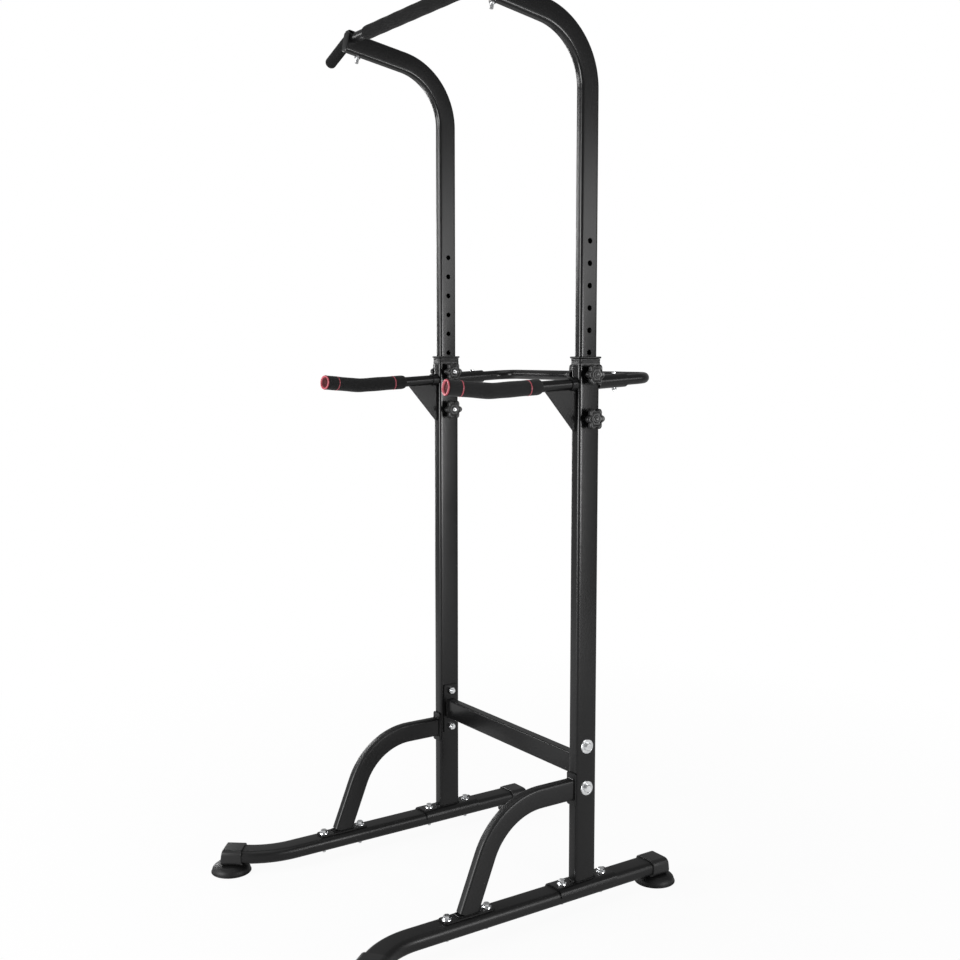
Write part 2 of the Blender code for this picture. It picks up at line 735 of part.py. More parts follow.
def make_rim_bush(side, tag, frame):
    """Plastic bush in the lower upright's mouth, which guides the mast."""
    x = side * HALF_SPACING
    sleeve = round_rectangle(
        LOWER_WIDTH - 2 * (LOWER_WALL + GAP), LOWER_DEPTH - 2 * (LOWER_WALL + GAP),
        LOWER_CORNER - LOWER_WALL - GAP)
    lip = round_rectangle(
        LOWER_WIDTH + 2 * BUSH_OVERHANG, LOWER_DEPTH + 2 * BUSH_OVERHANG,
        LOWER_CORNER + BUSH_OVERHANG)
    guide = round_rectangle(MAST_WIDTH + 2 * GAP, MAST_DEPTH + 2 * GAP, MAST_CORNER + GAP)
    seat = LOWER_TOP + GAP
    heights = (seat - BUSH_SLEEVE, seat, seat, seat + BUSH_LIP)
    path = [Vector((x, 0, z)) for z in heights]
    bm = bmesh.new()
    outer = add_rings(bm, level_rings(path, [sleeve, sleeve, lip, lip]))
    inner = add_rings(bm, level_rings([path[0], path[-1]], [guide, guide]))
    for end in (0, -1):
        bridge(bm, outer[end], inner[end])
    place(mesh_object(f"rim_bush_{tag}", bm, BLACK_PLASTIC), frame)


def level_rings(path, outlines):
    return [
        [point + Vector((a, b, 0)) for a, b in outline]
        for point, outline in zip(path, outlines)
    ]


# Braces and crossbar

def brace_corners():
    """Corner points of the brace's centre line, seen from the side (y, z)."""
    trim = BRACE_RADIUS * math.tan(BRACE_LEAN / 2)
    knee = (-BRACE_STRAIGHT - trim, BRACE_TOP)
    drop = BRACE_TOP - (PLATE_BOTTOM + PLATE / 2)
    foot = (knee[0] - drop / math.tan(BRACE_LEAN), BRACE_TOP - drop)
    return [(-UPRIGHT_FACE - GAP - PLATE / 2, BRACE_TOP), knee, foot]


def brace_foot_middle():
    return brace_corners()[-1][0]


def make_brace(side, tag, frame):
    x = side * HALF_SPACING
    corners = [(x, y, z) for y, z in brace_corners()]
    path = rounded_path(corners, BRACE_RADIUS)
    path[-1] += (path[-1] - path[-2]).normalized() * BRACE_WIDTH / 2
    outer = round_rectangle(BRACE_WIDTH, BRACE_DEPTH, BRACE_CORNER)
    inner = round_rectangle(
        BRACE_WIDTH - 2 * BRACE_WALL, BRACE_DEPTH - 2 * BRACE_WALL, BRACE_CORNER - BRACE_WALL)
    brace = solid_sweep(f"curved_brace_{tag}", path, outer, (1, 0, 0), POWDER_COAT)
    flange = slab(
        f"brace_flange_{tag}",
        round_rectangle(LOWER_WIDTH, BRACE_FLANGE_HEIGHT, LOWER_CORNER), PLATE)
    place(flange, frame, (x, -UPRIGHT_FACE - GAP - PLATE / 2, BRACE_TOP), (math.pi / 2, 0, 0))
    join(brace, flange)
    hollow = solid_sweep(f"brace_hollow_{tag}", extended(path, 2 * PLATE), inner, (1, 0, 0))
    cut(brace, hollow)
    below = slab(
        f"brace_trim_{tag}",
        round_rectangle(3 * FOOT_WIDTH, 2 * BRACE_PLATE_LENGTH, LOWER_CORNER), FOOT_HEIGHT)
    trim_z = PLATE_BOTTOM + PLATE / 2 - FOOT_HEIGHT / 2
    place(below, frame, (x, brace_foot_middle(), trim_z))
    cut(brace, below)
    sole = slab(
        f"brace_sole_{tag}",
        round_rectangle(BRACE_SOLE_WIDTH, BRACE_PLATE_LENGTH, BRACE_SOLE_CORNER), PLATE)
    place(sole, frame, (x, brace_foot_middle(), PLATE_BOTTOM + PLATE / 2))
    join(brace, sole)
    holes = [
        ((x, brace_foot_middle() + y, PLATE_TOP), (0, 0, 1),
         FOOT_BOLT_RADIUS + HOLE_PLAY / 2, 6 * PLATE)
        for y in (-BRACE_BOLT_REACH, BRACE_BOLT_REACH)
    ]
    cut(brace, rods(f"brace_holes_{tag}", holes))
    place(brace, frame)


def make_crossbar(frame):
    face = HALF_SPACING - UPRIGHT_SIDE - GAP
    z = CROSSBAR_HEIGHT
    outer = round_rectangle(CROSSBAR_DEEP, CROSSBAR_TALL, CROSSBAR_CORNER)
    inner = round_rectangle(
        CROSSBAR_DEEP - 2 * CROSSBAR_WALL, CROSSBAR_TALL - 2 * CROSSBAR_WALL,
        CROSSBAR_CORNER - CROSSBAR_WALL)
    end = face - PLATE / 2
    path = [Vector((-end, 0, z)), Vector((end, 0, z))]
    bar = solid_sweep("crossbar", path, outer, (0, 1, 0), POWDER_COAT)
    for side, tag in SIDES:
        flange = slab(
            f"crossbar_flange_{tag}",
            round_rectangle(CROSSBAR_FLANGE_DEEP, CROSSBAR_FLANGE_TALL, LOWER_CORNER), PLATE)
        place(flange, frame, (side * end, 0, z), SIDE_VIEW)
        join(bar, flange)
    cut(bar, solid_sweep("crossbar_bore", extended(path, PLATE), inner, (0, 1, 0)))
    holes = [
        ((side * end, 0, z + up), (1, 0, 0), CROSSBAR_BOLT_RADIUS + HOLE_PLAY / 2, 6 * PLATE)
        for side, _ in SIDES
        for up in (-CROSSBAR_BOLT_REACH, CROSSBAR_BOLT_REACH)
    ]
    cut(bar, rods("crossbar_holes", holes))
    place(bar, frame)


def make_crossbar_bolts(side, tag, frame):
    """Washer and head outside the upright, lock nut inside its flange."""
    inside = -(UPRIGHT_SIDE + GAP + PLATE + GAP)
    outside = UPRIGHT_SIDE + GAP
    above = outside + WASHER
    washer = circle(WASHER_RADIUS, FASTENER_SIDES)
    head = circle(BOLT_HEAD_RADIUS, FASTENER_SIDES)
    for name, up in (("low", -CROSSBAR_BOLT_REACH), ("high", CROSSBAR_BOLT_REACH)):
        layers = [
            *nut_layers(
                inside, CROSSBAR_BOLT_RADIUS, LOCK_NUT, LOCK_NUT_TALL, CROSSBAR_BOLT_END),
            (outside, circle(CROSSBAR_BOLT_RADIUS, FASTENER_SIDES)),
            (outside, washer),
            (above, washer),
            (above, head),
            (above + BOLT_HEAD_STRAIGHT, head),
            (above + BOLT_HEAD, circle(BOLT_HEAD_CROWN, FASTENER_SIDES)),
        ]
        bolt = stack(f"crossbar_bolt_{name}_{tag}", layers, ZINC)
        spot = (side * HALF_SPACING, 0, CROSSBAR_HEIGHT + up)
        place(bolt, frame, spot, (0, side * math.pi / 2, 0))


# Dip handles and rear bar

def dip_point(x, y):
    """A point on the tilted level of the dip handles and the rear bar."""
    return Vector((x, y, DIP_HEIGHT + y * DIP_SLOPE))


def dip_path(side):
    """Centre line of a dip handle, from the upright to its front end."""
    x = side * HALF_SPACING
    root = DIP_RADIUS + DIP_COLLAR_WALL
    start = dip_point(x, -UPRIGHT_FACE - GAP - root * DIP_SLOPE)
    kink = dip_point(x, -DIP_STRAIGHT)
    level = math.cos(DIP_UPWARD)
    onward = Vector((
        -side * math.sin(DIP_INWARD) * level, -math.cos(DIP_INWARD) * level,
        math.sin(DIP_UPWARD)))
    return rounded_path([start, kink, kink + onward * DIP_AFTER_KINK], DIP_KINK_RADIUS)


def make_dip_handle(side, tag, frame):
    path = dip_path(side)
    total = length_of(path)
    arm = solid_sweep(f"dip_arm_{tag}", path, circle(DIP_RADIUS), None, POWDER_COAT)
    collar_path = stretch_of(path, 0, DIP_COLLAR)
    join(arm, solid_sweep(f"dip_collar_{tag}", collar_path, circle(DIP_RADIUS + DIP_COLLAR_WALL)))
    top = -DIP_RADIUS + DIP_WALL / 3
    face = -UPRIGHT_FACE - GAP
    reach = face - GUSSET_LONG
    under = DIP_HEIGHT + top
    outline = [
        (face, under + face * DIP_SLOPE),
        (reach, under + reach * DIP_SLOPE),
        (face - GUSSET_THICKNESS, under - GUSSET_TALL),
        (face, under - GUSSET_TALL),
    ]
    gusset = slab(f"dip_gusset_{tag}", outline, GUSSET_THICKNESS)
    place(gusset, frame, (side * HALF_SPACING, 0, 0), SIDE_VIEW)
    join(arm, gusset)
    hollow = solid_sweep(
        f"dip_hollow_{tag}", extended(path, DIP_RADIUS), circle(DIP_RADIUS - DIP_WALL))
    cut(arm, hollow)
    place(arm, frame)
    sleeve = stretch_of(path, total - DIP_GRIP_LENGTH, total - SHORT_OF_END)
    place(foam_sleeve(f"dip_grip_{tag}", sleeve, DIP_RADIUS, GRIP_RADIUS, (True, False)), frame)
    make_dip_cap(tag, path, frame)


def foam_sleeve(name, path, core, radius, shoulders):
    """Foam round a bar. A shouldered end is rounded down to the bar."""
    lengths = [0.0]
    for a, b in zip(path, path[1:]):
        lengths.append(lengths[-1] + (b - a).length)
    total = lengths[-1]
    stops = sorted(
        {round(s, 6) for s in lengths}
        | {GRIP_SHOULDER * 0.35, GRIP_SHOULDER, total - GRIP_SHOULDER * 0.35, total - GRIP_SHOULDER})
    points, outers = [], []
    for stop in stops:
        near = [s for s in lengths if abs(s - stop) < 0.003 and s not in (0.0, total)]
        if near and stop not in near and round(stop, 6) not in {round(s, 6) for s in near}:
            continue
        points.append(point_at(path, min(stop, total)))
        inset = 0.0
        if shoulders[0]:
            inset = max(inset, 1 - stop / GRIP_SHOULDER)
        if shoulders[1]:
            inset = max(inset, 1 - (total - stop) / GRIP_SHOULDER)
        thick = (radius - core) * (1 - SHOULDER_DROP * max(inset, 0.0) ** 2)
        outers.append(circle(core + thick))
    return pipe(name, points, outers, bore(core), FOAM)


def point_at(path, distance):
    run = 0.0
    for a, b in zip(path, path[1:]):
        length = (b - a).length
        if distance <= run + length or b is path[-1]:
            return a.lerp(b, min((distance - run) / length, 1.0))
        run += length
    return path[-1]


def make_dip_cap(tag, path, frame):
    """Ringed end plug of a dip handle: a flange over the foam's end."""
    end = path[-1]
    out = (path[-1] - path[-2]).normalized()
    plug = (DIP_RADIUS - DIP_WALL) * math.cos(math.pi / ROUND) - GAP
    crown, mouth, floor = (GRIP_RADIUS * share for share in RING_CAP_CROWN)
    profile = [
        (0, -PLUG_DEPTH), (plug, -PLUG_DEPTH), (plug, GAP), (GRIP_RADIUS, GAP),
        (GRIP_RADIUS, RING_CAP_EDGE), (crown, RING_CAP), (mouth, RING_CAP),
        (floor, RING_CAP_FLOOR), (0, RING_CAP_FLOOR),
    ]
    cap = spun(f"dip_end_cap_{tag}", profile, RED_PLASTIC)
    place(cap, frame, end, out.to_track_quat("Z", "Y").to_euler())


def socket_bolt_place(x):
    return dip_point(x, UPRIGHT_FACE + SOCKET_BOLT_AT)


def socket_bolt_hole(x):
    return (
        socket_bolt_place(x), (0, -math.sin(DIP_TILT), math.cos(DIP_TILT)),
        SOCKET_BOLT_RADIUS + HOLE_PLAY / 2, 4 * SOCKET_RADIUS)


def make_socket_bolt(side, tag, frame):
    """Bolt down through a socket and the rear bar's end, with its nut."""
    head = circle(SOCKET_BOLT_HEAD, FASTENER_SIDES)
    seat = SOCKET_RADIUS + GAP
    layers = [
        *nut_layers(
            -seat, SOCKET_BOLT_RADIUS, SOCKET_BOLT_NUT, SOCKET_BOLT_NUT_TALL, SOCKET_BOLT_END),
        (seat, circle(SOCKET_BOLT_RADIUS, FASTENER_SIDES)),
        (seat, head),
        (seat + SOCKET_BOLT_HEAD_STRAIGHT, head),
        (seat + SOCKET_BOLT_HEAD_TALL, circle(SOCKET_BOLT_CROWN, FASTENER_SIDES)),
    ]
    bolt = stack(f"socket_bolt_{tag}", layers, ZINC)
    place(bolt, frame, socket_bolt_place(side * HALF_SPACING), (DIP_TILT, 0, 0))


def make_rear_bar(frame):
    begin = UPRIGHT_FACE + SOCKET_LENGTH - REAR_BAR_INSERT
    corners = [
        dip_point(-HALF_SPACING, begin), dip_point(-HALF_SPACING, REAR_BAR_DEPTH),
        dip_point(HALF_SPACING, REAR_BAR_DEPTH), dip_point(HALF_SPACING, begin),
    ]
    path = rounded_path(corners, REAR_BAR_RADIUS)
    bar = pipe(
        "rear_bar", path, circle(DIP_RADIUS), circle(DIP_RADIUS - DIP_WALL), POWDER_COAT)
    cut(bar, rods("rear_bar_holes", [socket_bolt_hole(side * HALF_SPACING) for side, _ in SIDES]))
    place(bar, frame)


# Masts

def mast_path(side):
    x = side * HALF_SPACING
    turn = math.pi / 2 - ARM_RISE
    trim = MAST_BEND_RADIUS * math.tan(turn / 2)
    knee = Vector((x, 0, MAST_BEND_START + trim))
    out = arm_direction()
    return rounded_path(
        [(x, 0, MAST_BOTTOM), knee, knee + out * (trim + ARM_LENGTH)], MAST_BEND_RADIUS)


def arm_direction():
    return Vector((0, -math.cos(ARM_RISE), math.sin(ARM_RISE)))


def arm_up():
    return Vector((0, math.sin(ARM_RISE), math.cos(ARM_RISE)))


def bar_centre(side):
    """Where the pull-up bar's centre line crosses a mast's arm."""
    end = mast_path(side)[-1]
    return end - arm_direction() * BAR_SETBACK + arm_up() * (MAST_DEPTH / 2 - BAR_RADIUS)


def clamp_bolt_foot(side):
    """Middle of the arm's top face under the clamp's bolt."""
    return bar_centre(side) - arm_direction() * CLAMP_BOLT_AT + arm_up() * BAR_RADIUS


def make_mast(side, tag, frame):
    x = side * HALF_SPACING
    path = mast_path(side)
    outer = round_rectangle(MAST_WIDTH, MAST_DEPTH, MAST_CORNER)
    inner = round_rectangle(
        MAST_WIDTH - 2 * MAST_WALL, MAST_DEPTH - 2 * MAST_WALL, MAST_CORNER - MAST_WALL)
    mast = solid_sweep(f"mast_{tag}", path, outer, (1, 0, 0), POWDER_COAT)
    hollow = extended(path, MAST_WALL)
    hollow[-1] = path[-1] - arm_direction() * END_PLATE
    cut(mast, solid_sweep(f"mast_bore_{tag}", hollow, inner, (1, 0, 0)))
    holes = [
        ((x, 0, LOCK_LOW + i * HOLE_PITCH), (1, 0, 0), LOCK_RADIUS + MAST_HOLE_PLAY / 2,
         2 * MAST_WIDTH)
        for i in range(HOLE_COUNT)
    ]
    bolt = clamp_bolt_foot(side) - arm_up() * MAST_DEPTH / 2
    holes.append((bolt, arm_up(), CLAMP_BOLT_RADIUS + HOLE_PLAY / 2, 2 * MAST_DEPTH))
    cut(mast, rods(f"mast_holes_{tag}", holes))
    notch = slab(f"mast_notch_{tag}", notch_outline(), 2 * MAST_WIDTH)
    turn = Matrix.Rotation(-ARM_RISE, 3, "X") @ Euler(SIDE_VIEW).to_matrix()
    place(notch, frame, bar_centre(side), turn.to_euler())
    cut(mast, notch)
    place(mast, frame)


def notch_outline():
    """Side view of the open seat that the bar lies in, its centre at (0, 0)."""
    reach = (BAR_RADIUS + GAP) / math.cos(math.pi / ROUND)
    turn = 2 * math.pi / ROUND
    below = [
        (-reach * math.cos(turn * i), -reach * math.sin(turn * i)) for i in range(ROUND // 2 + 1)]
    return [*below, (reach, 2 * BAR_RADIUS), (-reach, 2 * BAR_RADIUS)]


def make_clamp(side, tag, frame):
    """The plate over the pull-up bar, with the bolt that is welded to it."""
    rear = CLAMP_BOLT_AT + CLAMP_TAIL
    outline = round_rectangle(CLAMP_WIDTH, CLAMP_FRONT + rear, MAST_CORNER)
    clamp = slab(f"bar_clamp_{tag}", outline, CLAMP, POWDER_COAT)
    middle = bar_centre(side) - arm_direction() * (rear - CLAMP_FRONT) / 2
    middle += arm_up() * (BAR_RADIUS + GAP + CLAMP / 2)
    place(clamp, frame, middle, (-ARM_RISE, 0, 0))
    inside = GAP + CLAMP / 2
    under = -MAST_DEPTH - GAP
    end = -MAST_DEPTH - CLAMP_BOLT_PROUD
    threads = under - SMALL_NUT_TALL - end - CLAMP_BOLT_LEAD
    crown = GAP + CLAMP + CLAMP_HEAD_TALL
    head = hexagon(CLAMP_HEAD)
    layers = [
        (end, circle(CLAMP_BOLT_TIP, FASTENER_SIDES)),
        *nut_layers(under, CLAMP_BOLT_RADIUS, SMALL_NUT, SMALL_NUT_TALL, threads),
        (inside, circle(CLAMP_BOLT_RADIUS, FASTENER_SIDES)),
        (inside, head),
        (crown - CLAMP_BOLT_LEAD, head),
        (crown, circle(CLAMP_HEAD_CROWN, FASTENER_SIDES)),
    ]
    bolt = stack(f"clamp_bolt_{tag}", layers, None)
    place(bolt, frame, clamp_bolt_foot(side), (-ARM_RISE, 0, 0))
    join(clamp, bolt)


# Pull-up bar

def bar_path():
    y, z = bar_centre(1).y, bar_centre(1).z
    trim = BAR_BEND_RADIUS * math.tan(BAR_DROP / 2)
    knee = HALF_SPACING + BAR_OUTSIDE + trim
    reach = trim + BAR_HANDLE
    tip_x = knee + reach * math.cos(BAR_DROP)
    tip_z = z - reach * math.sin(BAR_DROP)
    corners = [(-tip_x, y, tip_z), (-knee, y, z), (knee, y, z), (tip_x, y, tip_z)]
    return rounded_path(corners, BAR_BEND_RADIUS)


def make_pullup_bar(frame):
    path = bar_path()
    bar = pipe(
        "pullup_bar", path, circle(BAR_RADIUS), circle(BAR_RADIUS - BAR_WALL), POWDER_COAT)
    place(bar, frame)
    y, z = bar_centre(1).y, bar_centre(1).z
    ends = [Vector((-BAR_GRIP_HALF, y, z)), Vector((BAR_GRIP_HALF, y, z))]
    place(foam_sleeve("bar_grip", ends, BAR_RADIUS, BAR_GRIP_RADIUS, (True, True)), frame)
    total = length_of(path)
    for side, tag in SIDES:
        handle = path if side > 0 else path[::-1]
        sleeve = stretch_of(handle, total / 2 + SLEEVE_START, total - SHORT_OF_END)
        place(end_sleeve(f"end_grip_{tag}", sleeve), frame)


def end_sleeve(name, path):
    """Rubber sleeve with a closed round tip over the bar's drooped end."""
    tip = path[-1]
    out = (path[-1] - path[-2]).normalized()
    outer_path = [*path, *(tip + out * beyond for beyond, _ in END_SLEEVE_TIP)]
    scales = [END_SLEEVE_LEAD] + [1] * (len(path) - 1) + [scale for _, scale in END_SLEEVE_TIP]
    outer = rings_on(outer_path, [circle(SLEEVE_RADIUS * scale) for scale in scales])
    inner_path = [*path[:-1], tip + out * GAP]
    inner = rings_on(inner_path, [bore(BAR_RADIUS)] * len(inner_path))
    return blind_sleeve(name, outer, inner, FOAM)


# Lock bolts, knobs and star nuts

def star_layers(start):
    """Outline heights of a star part that stands on the upright's side."""
    head = start + STAR_BOSS_LENGTH
    top = head + STAR_THICKNESS
    boss = circle(STAR_BOSS_RADIUS, STAR_STEPS)
    under, under_share = STAR_UNDER
    over, over_share = STAR_TOP
    return [
        (start, boss), (head, boss), (head, star(under_share)), (head + under, star()),
        (top - over, star()), (top, star(over_share)),
    ]


def make_lock(side, tag, name, z, frame):
    """A bolt through the upright and the mast, the star knob on its outer
    end and the star nut on its inner end."""
    start = UPRIGHT_SIDE + GAP
    layers = star_layers(start)
    top = layers[-1][0]
    dish = [
        (top, circle(KNOB_DISH_RADIUS, STAR_STEPS)),
        (top - KNOB_DISH_DEPTH, circle(KNOB_DISH_FLOOR, STAR_STEPS)),
    ]
    hole = circle(LOCK_RADIUS + GAP, STAR_STEPS)
    pocket = rings_at([(start, hole), (start + STAR_SOCKET, hole)])
    spot = (side * HALF_SPACING, 0, z)
    outward = (0, side * math.pi / 2, 0)
    inward = (0, -side * math.pi / 2, 0)
    knob = blind_sleeve(
        f"lock_knob_{name}_{tag}", rings_at(layers + dish), pocket, BLACK_PLASTIC)
    place(knob, frame, spot, outward)
    bm = bmesh.new()
    outer = add_rings(bm, rings_at(layers))
    inner = add_rings(bm, rings_at([(start, hole), (top, hole)]))
    for edge in (0, -1):
        bridge(bm, outer[edge], inner[edge])
    place(mesh_object(f"star_nut_{name}_{tag}", bm, BLACK_PLASTIC), frame, spot, inward)
    end = -(top + BOLT_STAND_OUT)
    shank = circle(LOCK_RADIUS, STAR_STEPS)
    bolt_layers = [
        (end, circle(LOCK_RADIUS * BOLT_TIP, STAR_STEPS)),
        (end + BOLT_LEAD, shank),
        (start + STAR_SOCKET - GAP, shank),
    ]
    bolt = stack(f"lock_bolt_{name}_{tag}", bolt_layers, ZINC)
    place(bolt, frame, spot, outward)


SIDES = ((-1, "l"), (1, "r"))


def main():
    clear_scene()
    lower = empty("lower_frame", (0, upright_y(), 0))
    upper = empty("upper_frame", (0, upright_y(), 0))
    make_crossbar(lower)
    make_rear_bar(lower)
    for side, tag in SIDES:
        make_foot(side, tag, lower)
        make_lower_upright(side, tag, lower)
        make_rim_bush(side, tag, lower)
        make_brace(side, tag, lower)
        make_foot_bolts(side, tag, lower)
        make_crossbar_bolts(side, tag, lower)
        make_dip_handle(side, tag, lower)
        make_socket_bolt(side, tag, lower)
        for name, z in (("high", LOCK_HIGH), ("low", LOCK_LOW)):
            make_lock(side, tag, name, z, lower)
        make_mast(side, tag, upper)
        make_clamp(side, tag, upper)
    make_pullup_bar(upper)


main()
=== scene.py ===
"""Freestanding pull-up bar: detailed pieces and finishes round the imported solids."""

import math

import bmesh
import bpy
from bpy.props import FloatProperty, FloatVectorProperty, IntProperty, PointerProperty
from mathutils import Euler, Matrix, Vector
from mathutils.geometry import intersect_sphere_sphere_2d


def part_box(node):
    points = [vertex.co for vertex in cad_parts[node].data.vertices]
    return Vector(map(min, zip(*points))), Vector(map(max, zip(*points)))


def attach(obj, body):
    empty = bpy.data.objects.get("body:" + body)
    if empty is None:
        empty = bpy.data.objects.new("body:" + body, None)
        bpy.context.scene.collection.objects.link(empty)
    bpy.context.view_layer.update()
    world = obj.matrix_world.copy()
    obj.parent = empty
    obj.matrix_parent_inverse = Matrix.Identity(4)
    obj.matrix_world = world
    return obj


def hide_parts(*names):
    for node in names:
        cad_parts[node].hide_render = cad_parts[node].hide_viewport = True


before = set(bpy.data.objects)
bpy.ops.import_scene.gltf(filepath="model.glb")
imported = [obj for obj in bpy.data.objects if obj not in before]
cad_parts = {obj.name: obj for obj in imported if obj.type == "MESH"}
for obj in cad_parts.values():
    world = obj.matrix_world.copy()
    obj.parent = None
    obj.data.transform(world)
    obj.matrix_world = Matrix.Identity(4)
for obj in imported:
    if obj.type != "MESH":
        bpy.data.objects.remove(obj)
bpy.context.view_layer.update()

bl_info = {
    "name": "Freestanding pull-up bar",
    "version": (1, 0, 0),
    "blender": (4, 5, 0),
    "location": "View3D > Sidebar > Pull-up bar",
    "description": "Dresses the solids of a height-adjustable pull-up and dip tower",
    "category": "Object",
}

SIDES = ((-1, "l"), (1, "r"))
GAP = 0.0003
SAME_POINT, NO_LENGTH, SHARP_EDGE = 1e-6, 1e-7, 0.6
ARC_STEP = math.radians(3)
HEADING_REACH = 0.0005
NUT_SIDES = 6


def middle(node):
    """The middle of a solid's box."""
    low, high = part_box(node)
    return (low + high) / 2


# Places taken from the solids
BUSH = middle("rim_bush_r")
HALF_SPACING = BUSH.x
UPRIGHT_Y = BUSH.y
CROSSBAR_Z = middle("crossbar").z

# Lower uprights and masts
LOWER_WIDTH, LOWER_DEPTH, LOWER_CORNER, LOWER_WALL = 0.032, 0.060, 0.005, 0.0015
BUSH_LIP, BUSH_OVERHANG, BUSH_SLEEVE = 0.005, 0.0045, 0.024
BUSH_SIDE, BUSH_FRONT = 0.0014, 0.0029
MAST_CORNER, MAST_WALL, MAST_BEND_RADIUS = 0.004, 0.0015, 0.155
LOWER_ROUND, MAST_ROUND, TUBE_SWELL = 0.0065, 0.0065, 0.0009
MAST_WIDTH = LOWER_WIDTH - 2 * (LOWER_WALL + BUSH_SIDE + 2 * GAP)
MAST_DEPTH = LOWER_DEPTH - 2 * (LOWER_WALL + BUSH_FRONT + 2 * GAP)
MAST_TAIL, MAST_CLEAR_LENGTH = 0.040, 0.335
TUBE_SUNK, SOCKET_SUNK = 0.0005, 0.0003
ARM_RISE, ARM_LENGTH = math.radians(10), 0.170
HOLE_PITCH, HOLE_COUNT, HOLES_BETWEEN_LOCKS, HOLE_RADIUS = 0.050, 9, 2, 0.0065
DIP_HEIGHT, DIP_TILT, LOWER_OVER_DIP, LOCK_UNDER_TOP = 1.236, math.radians(3), 0.055, 0.0355
LOWER_TOP = DIP_HEIGHT + LOWER_OVER_DIP
LOCK_HIGH = LOWER_TOP - LOCK_UNDER_TOP
LOCK_LOW = LOCK_HIGH - HOLES_BETWEEN_LOCKS * HOLE_PITCH
MAST_BEND_START = LOCK_LOW + (HOLE_COUNT - 1) * HOLE_PITCH + MAST_CLEAR_LENGTH
MAST_BOTTOM = LOCK_LOW - MAST_TAIL
LOCK_HEIGHT = {"high": LOCK_HIGH, "low": LOCK_LOW}

# Feet, base plates and braces
FOOT_WIDTH, FOOT_HEIGHT, FOOT_CORNER, FOOT_BOTTOM = 0.060, 0.034, 0.013, 0.027
FOOT_REAR, FOOT_STRAIGHT, FOOT_BEND_RADIUS = 0.238, 0.470, 0.180
FOOT_SPLAY, FOOT_TOE = math.radians(38), 0.042
CAP_WALL, CAP_CORNER, CAP_REACH, CAP_END, CAP_EDGE, CAP_RAKE = (
    0.003, 0.013, 0.037, 0.018, 0.0045, 0.006)
CUP_RADIUS, CUP_RIM, CUP_LIP, CUP_WALL, CUP_CROWN, CUP_SETBACK = (
    0.050, 0.003, 0.003, 0.005, 0.020, 0.004)
PLATE, SADDLE_LIP, SADDLE_LIP_WALL, SADDLE_BOLT_OFF, SADDLE_MARGIN = (
    0.004, 0.002, 0.003, 0.029, 0.026)
PLATE_BOTTOM = FOOT_BOTTOM + FOOT_HEIGHT + GAP
PLATE_TOP = PLATE_BOTTOM + PLATE
SADDLE_BOLT_REACH = LOWER_DEPTH / 2 + SADDLE_BOLT_OFF
BRACE_WIDTH, BRACE_DEPTH, BRACE_CORNER = 0.025, 0.050, 0.005
BRACE_TOP, BRACE_RADIUS, BRACE_STRAIGHT, BRACE_LEAN = 0.289, 0.165, 0.125, math.radians(68)
BRACE_BOLT_OFF, BRACE_MARGIN = 0.026, 0.014
BRACE_FLANGE_HEIGHT = BRACE_DEPTH + 2 * BRACE_MARGIN
BRACE_BOLT_REACH = BRACE_DEPTH / 2 / math.sin(BRACE_LEAN) + BRACE_BOLT_OFF
BRACE_PLATE_LENGTH = 2 * (BRACE_BOLT_REACH + BRACE_MARGIN)
BRACE_SOLE_WIDTH, BRACE_SOLE_CORNER, SOLE_WELD_SHIFT = 0.034, 0.007, 0.0008
CROSSBAR_TALL, CROSSBAR_DEEP, CROSSBAR_CORNER = 0.050, 0.025, 0.004
CROSSBAR_BOLT_OFF, CROSSBAR_MARGIN, CROSSBAR_FLANGE_DEEP = 0.025, 0.016, 0.044
CROSSBAR_BOLT_REACH = CROSSBAR_TALL / 2 + CROSSBAR_BOLT_OFF
CROSSBAR_FLANGE_TALL = 2 * (CROSSBAR_BOLT_REACH + CROSSBAR_MARGIN)

# Handles and bars
DIP_RADIUS, DIP_STRAIGHT, DIP_AFTER_KINK, DIP_KINK_RADIUS = 0.0127, 0.265, 0.104, 0.110
DIP_INWARD, DIP_UPWARD = math.radians(8), math.radians(5)
DIP_FOAM, DIP_GRIP_LENGTH, DIP_COLLAR, DIP_COLLAR_WALL = 0.0053, 0.238, 0.016, 0.0030
GUSSET_LONG, GUSSET_TALL, GUSSET_THICKNESS, GUSSET_SUNK = 0.086, 0.098, 0.004, 0.0006
SOCKET_RADIUS, SOCKET_LENGTH, SOCKET_BOLT_AT = 0.0163, 0.086, 0.055
REAR_BAR_DEPTH, REAR_BAR_RADIUS, REAR_BAR_INSERT = 0.205, 0.050, 0.060
BAR_RADIUS, BAR_SETBACK, BAR_OUTSIDE, BAR_BEND_RADIUS = 0.0127, 0.020, 0.015, 0.045
BAR_DROP, BAR_HANDLE = math.radians(21), 0.0912
BAR_FOAM, BAR_GRIP_SHORT, END_SLEEVE, END_SLEEVE_ROOM = 0.0040, 0.070, 0.0018, 0.003
CLAMP, CLAMP_WIDTH, CLAMP_FRONT, CLAMP_TAIL, CLAMP_BOLT_AT = 0.003, 0.022, 0.018, 0.012, 0.0205
RING_BEHIND, RING_AHEAD = 0.034, 0.032
GRIP_RADIUS = DIP_RADIUS + DIP_FOAM
BAR_GRIP_RADIUS = BAR_RADIUS + BAR_FOAM
BAR_GRIP_HALF = HALF_SPACING - BAR_GRIP_SHORT
END_DOME, ARM_PLUG = 0.0105, 0.003

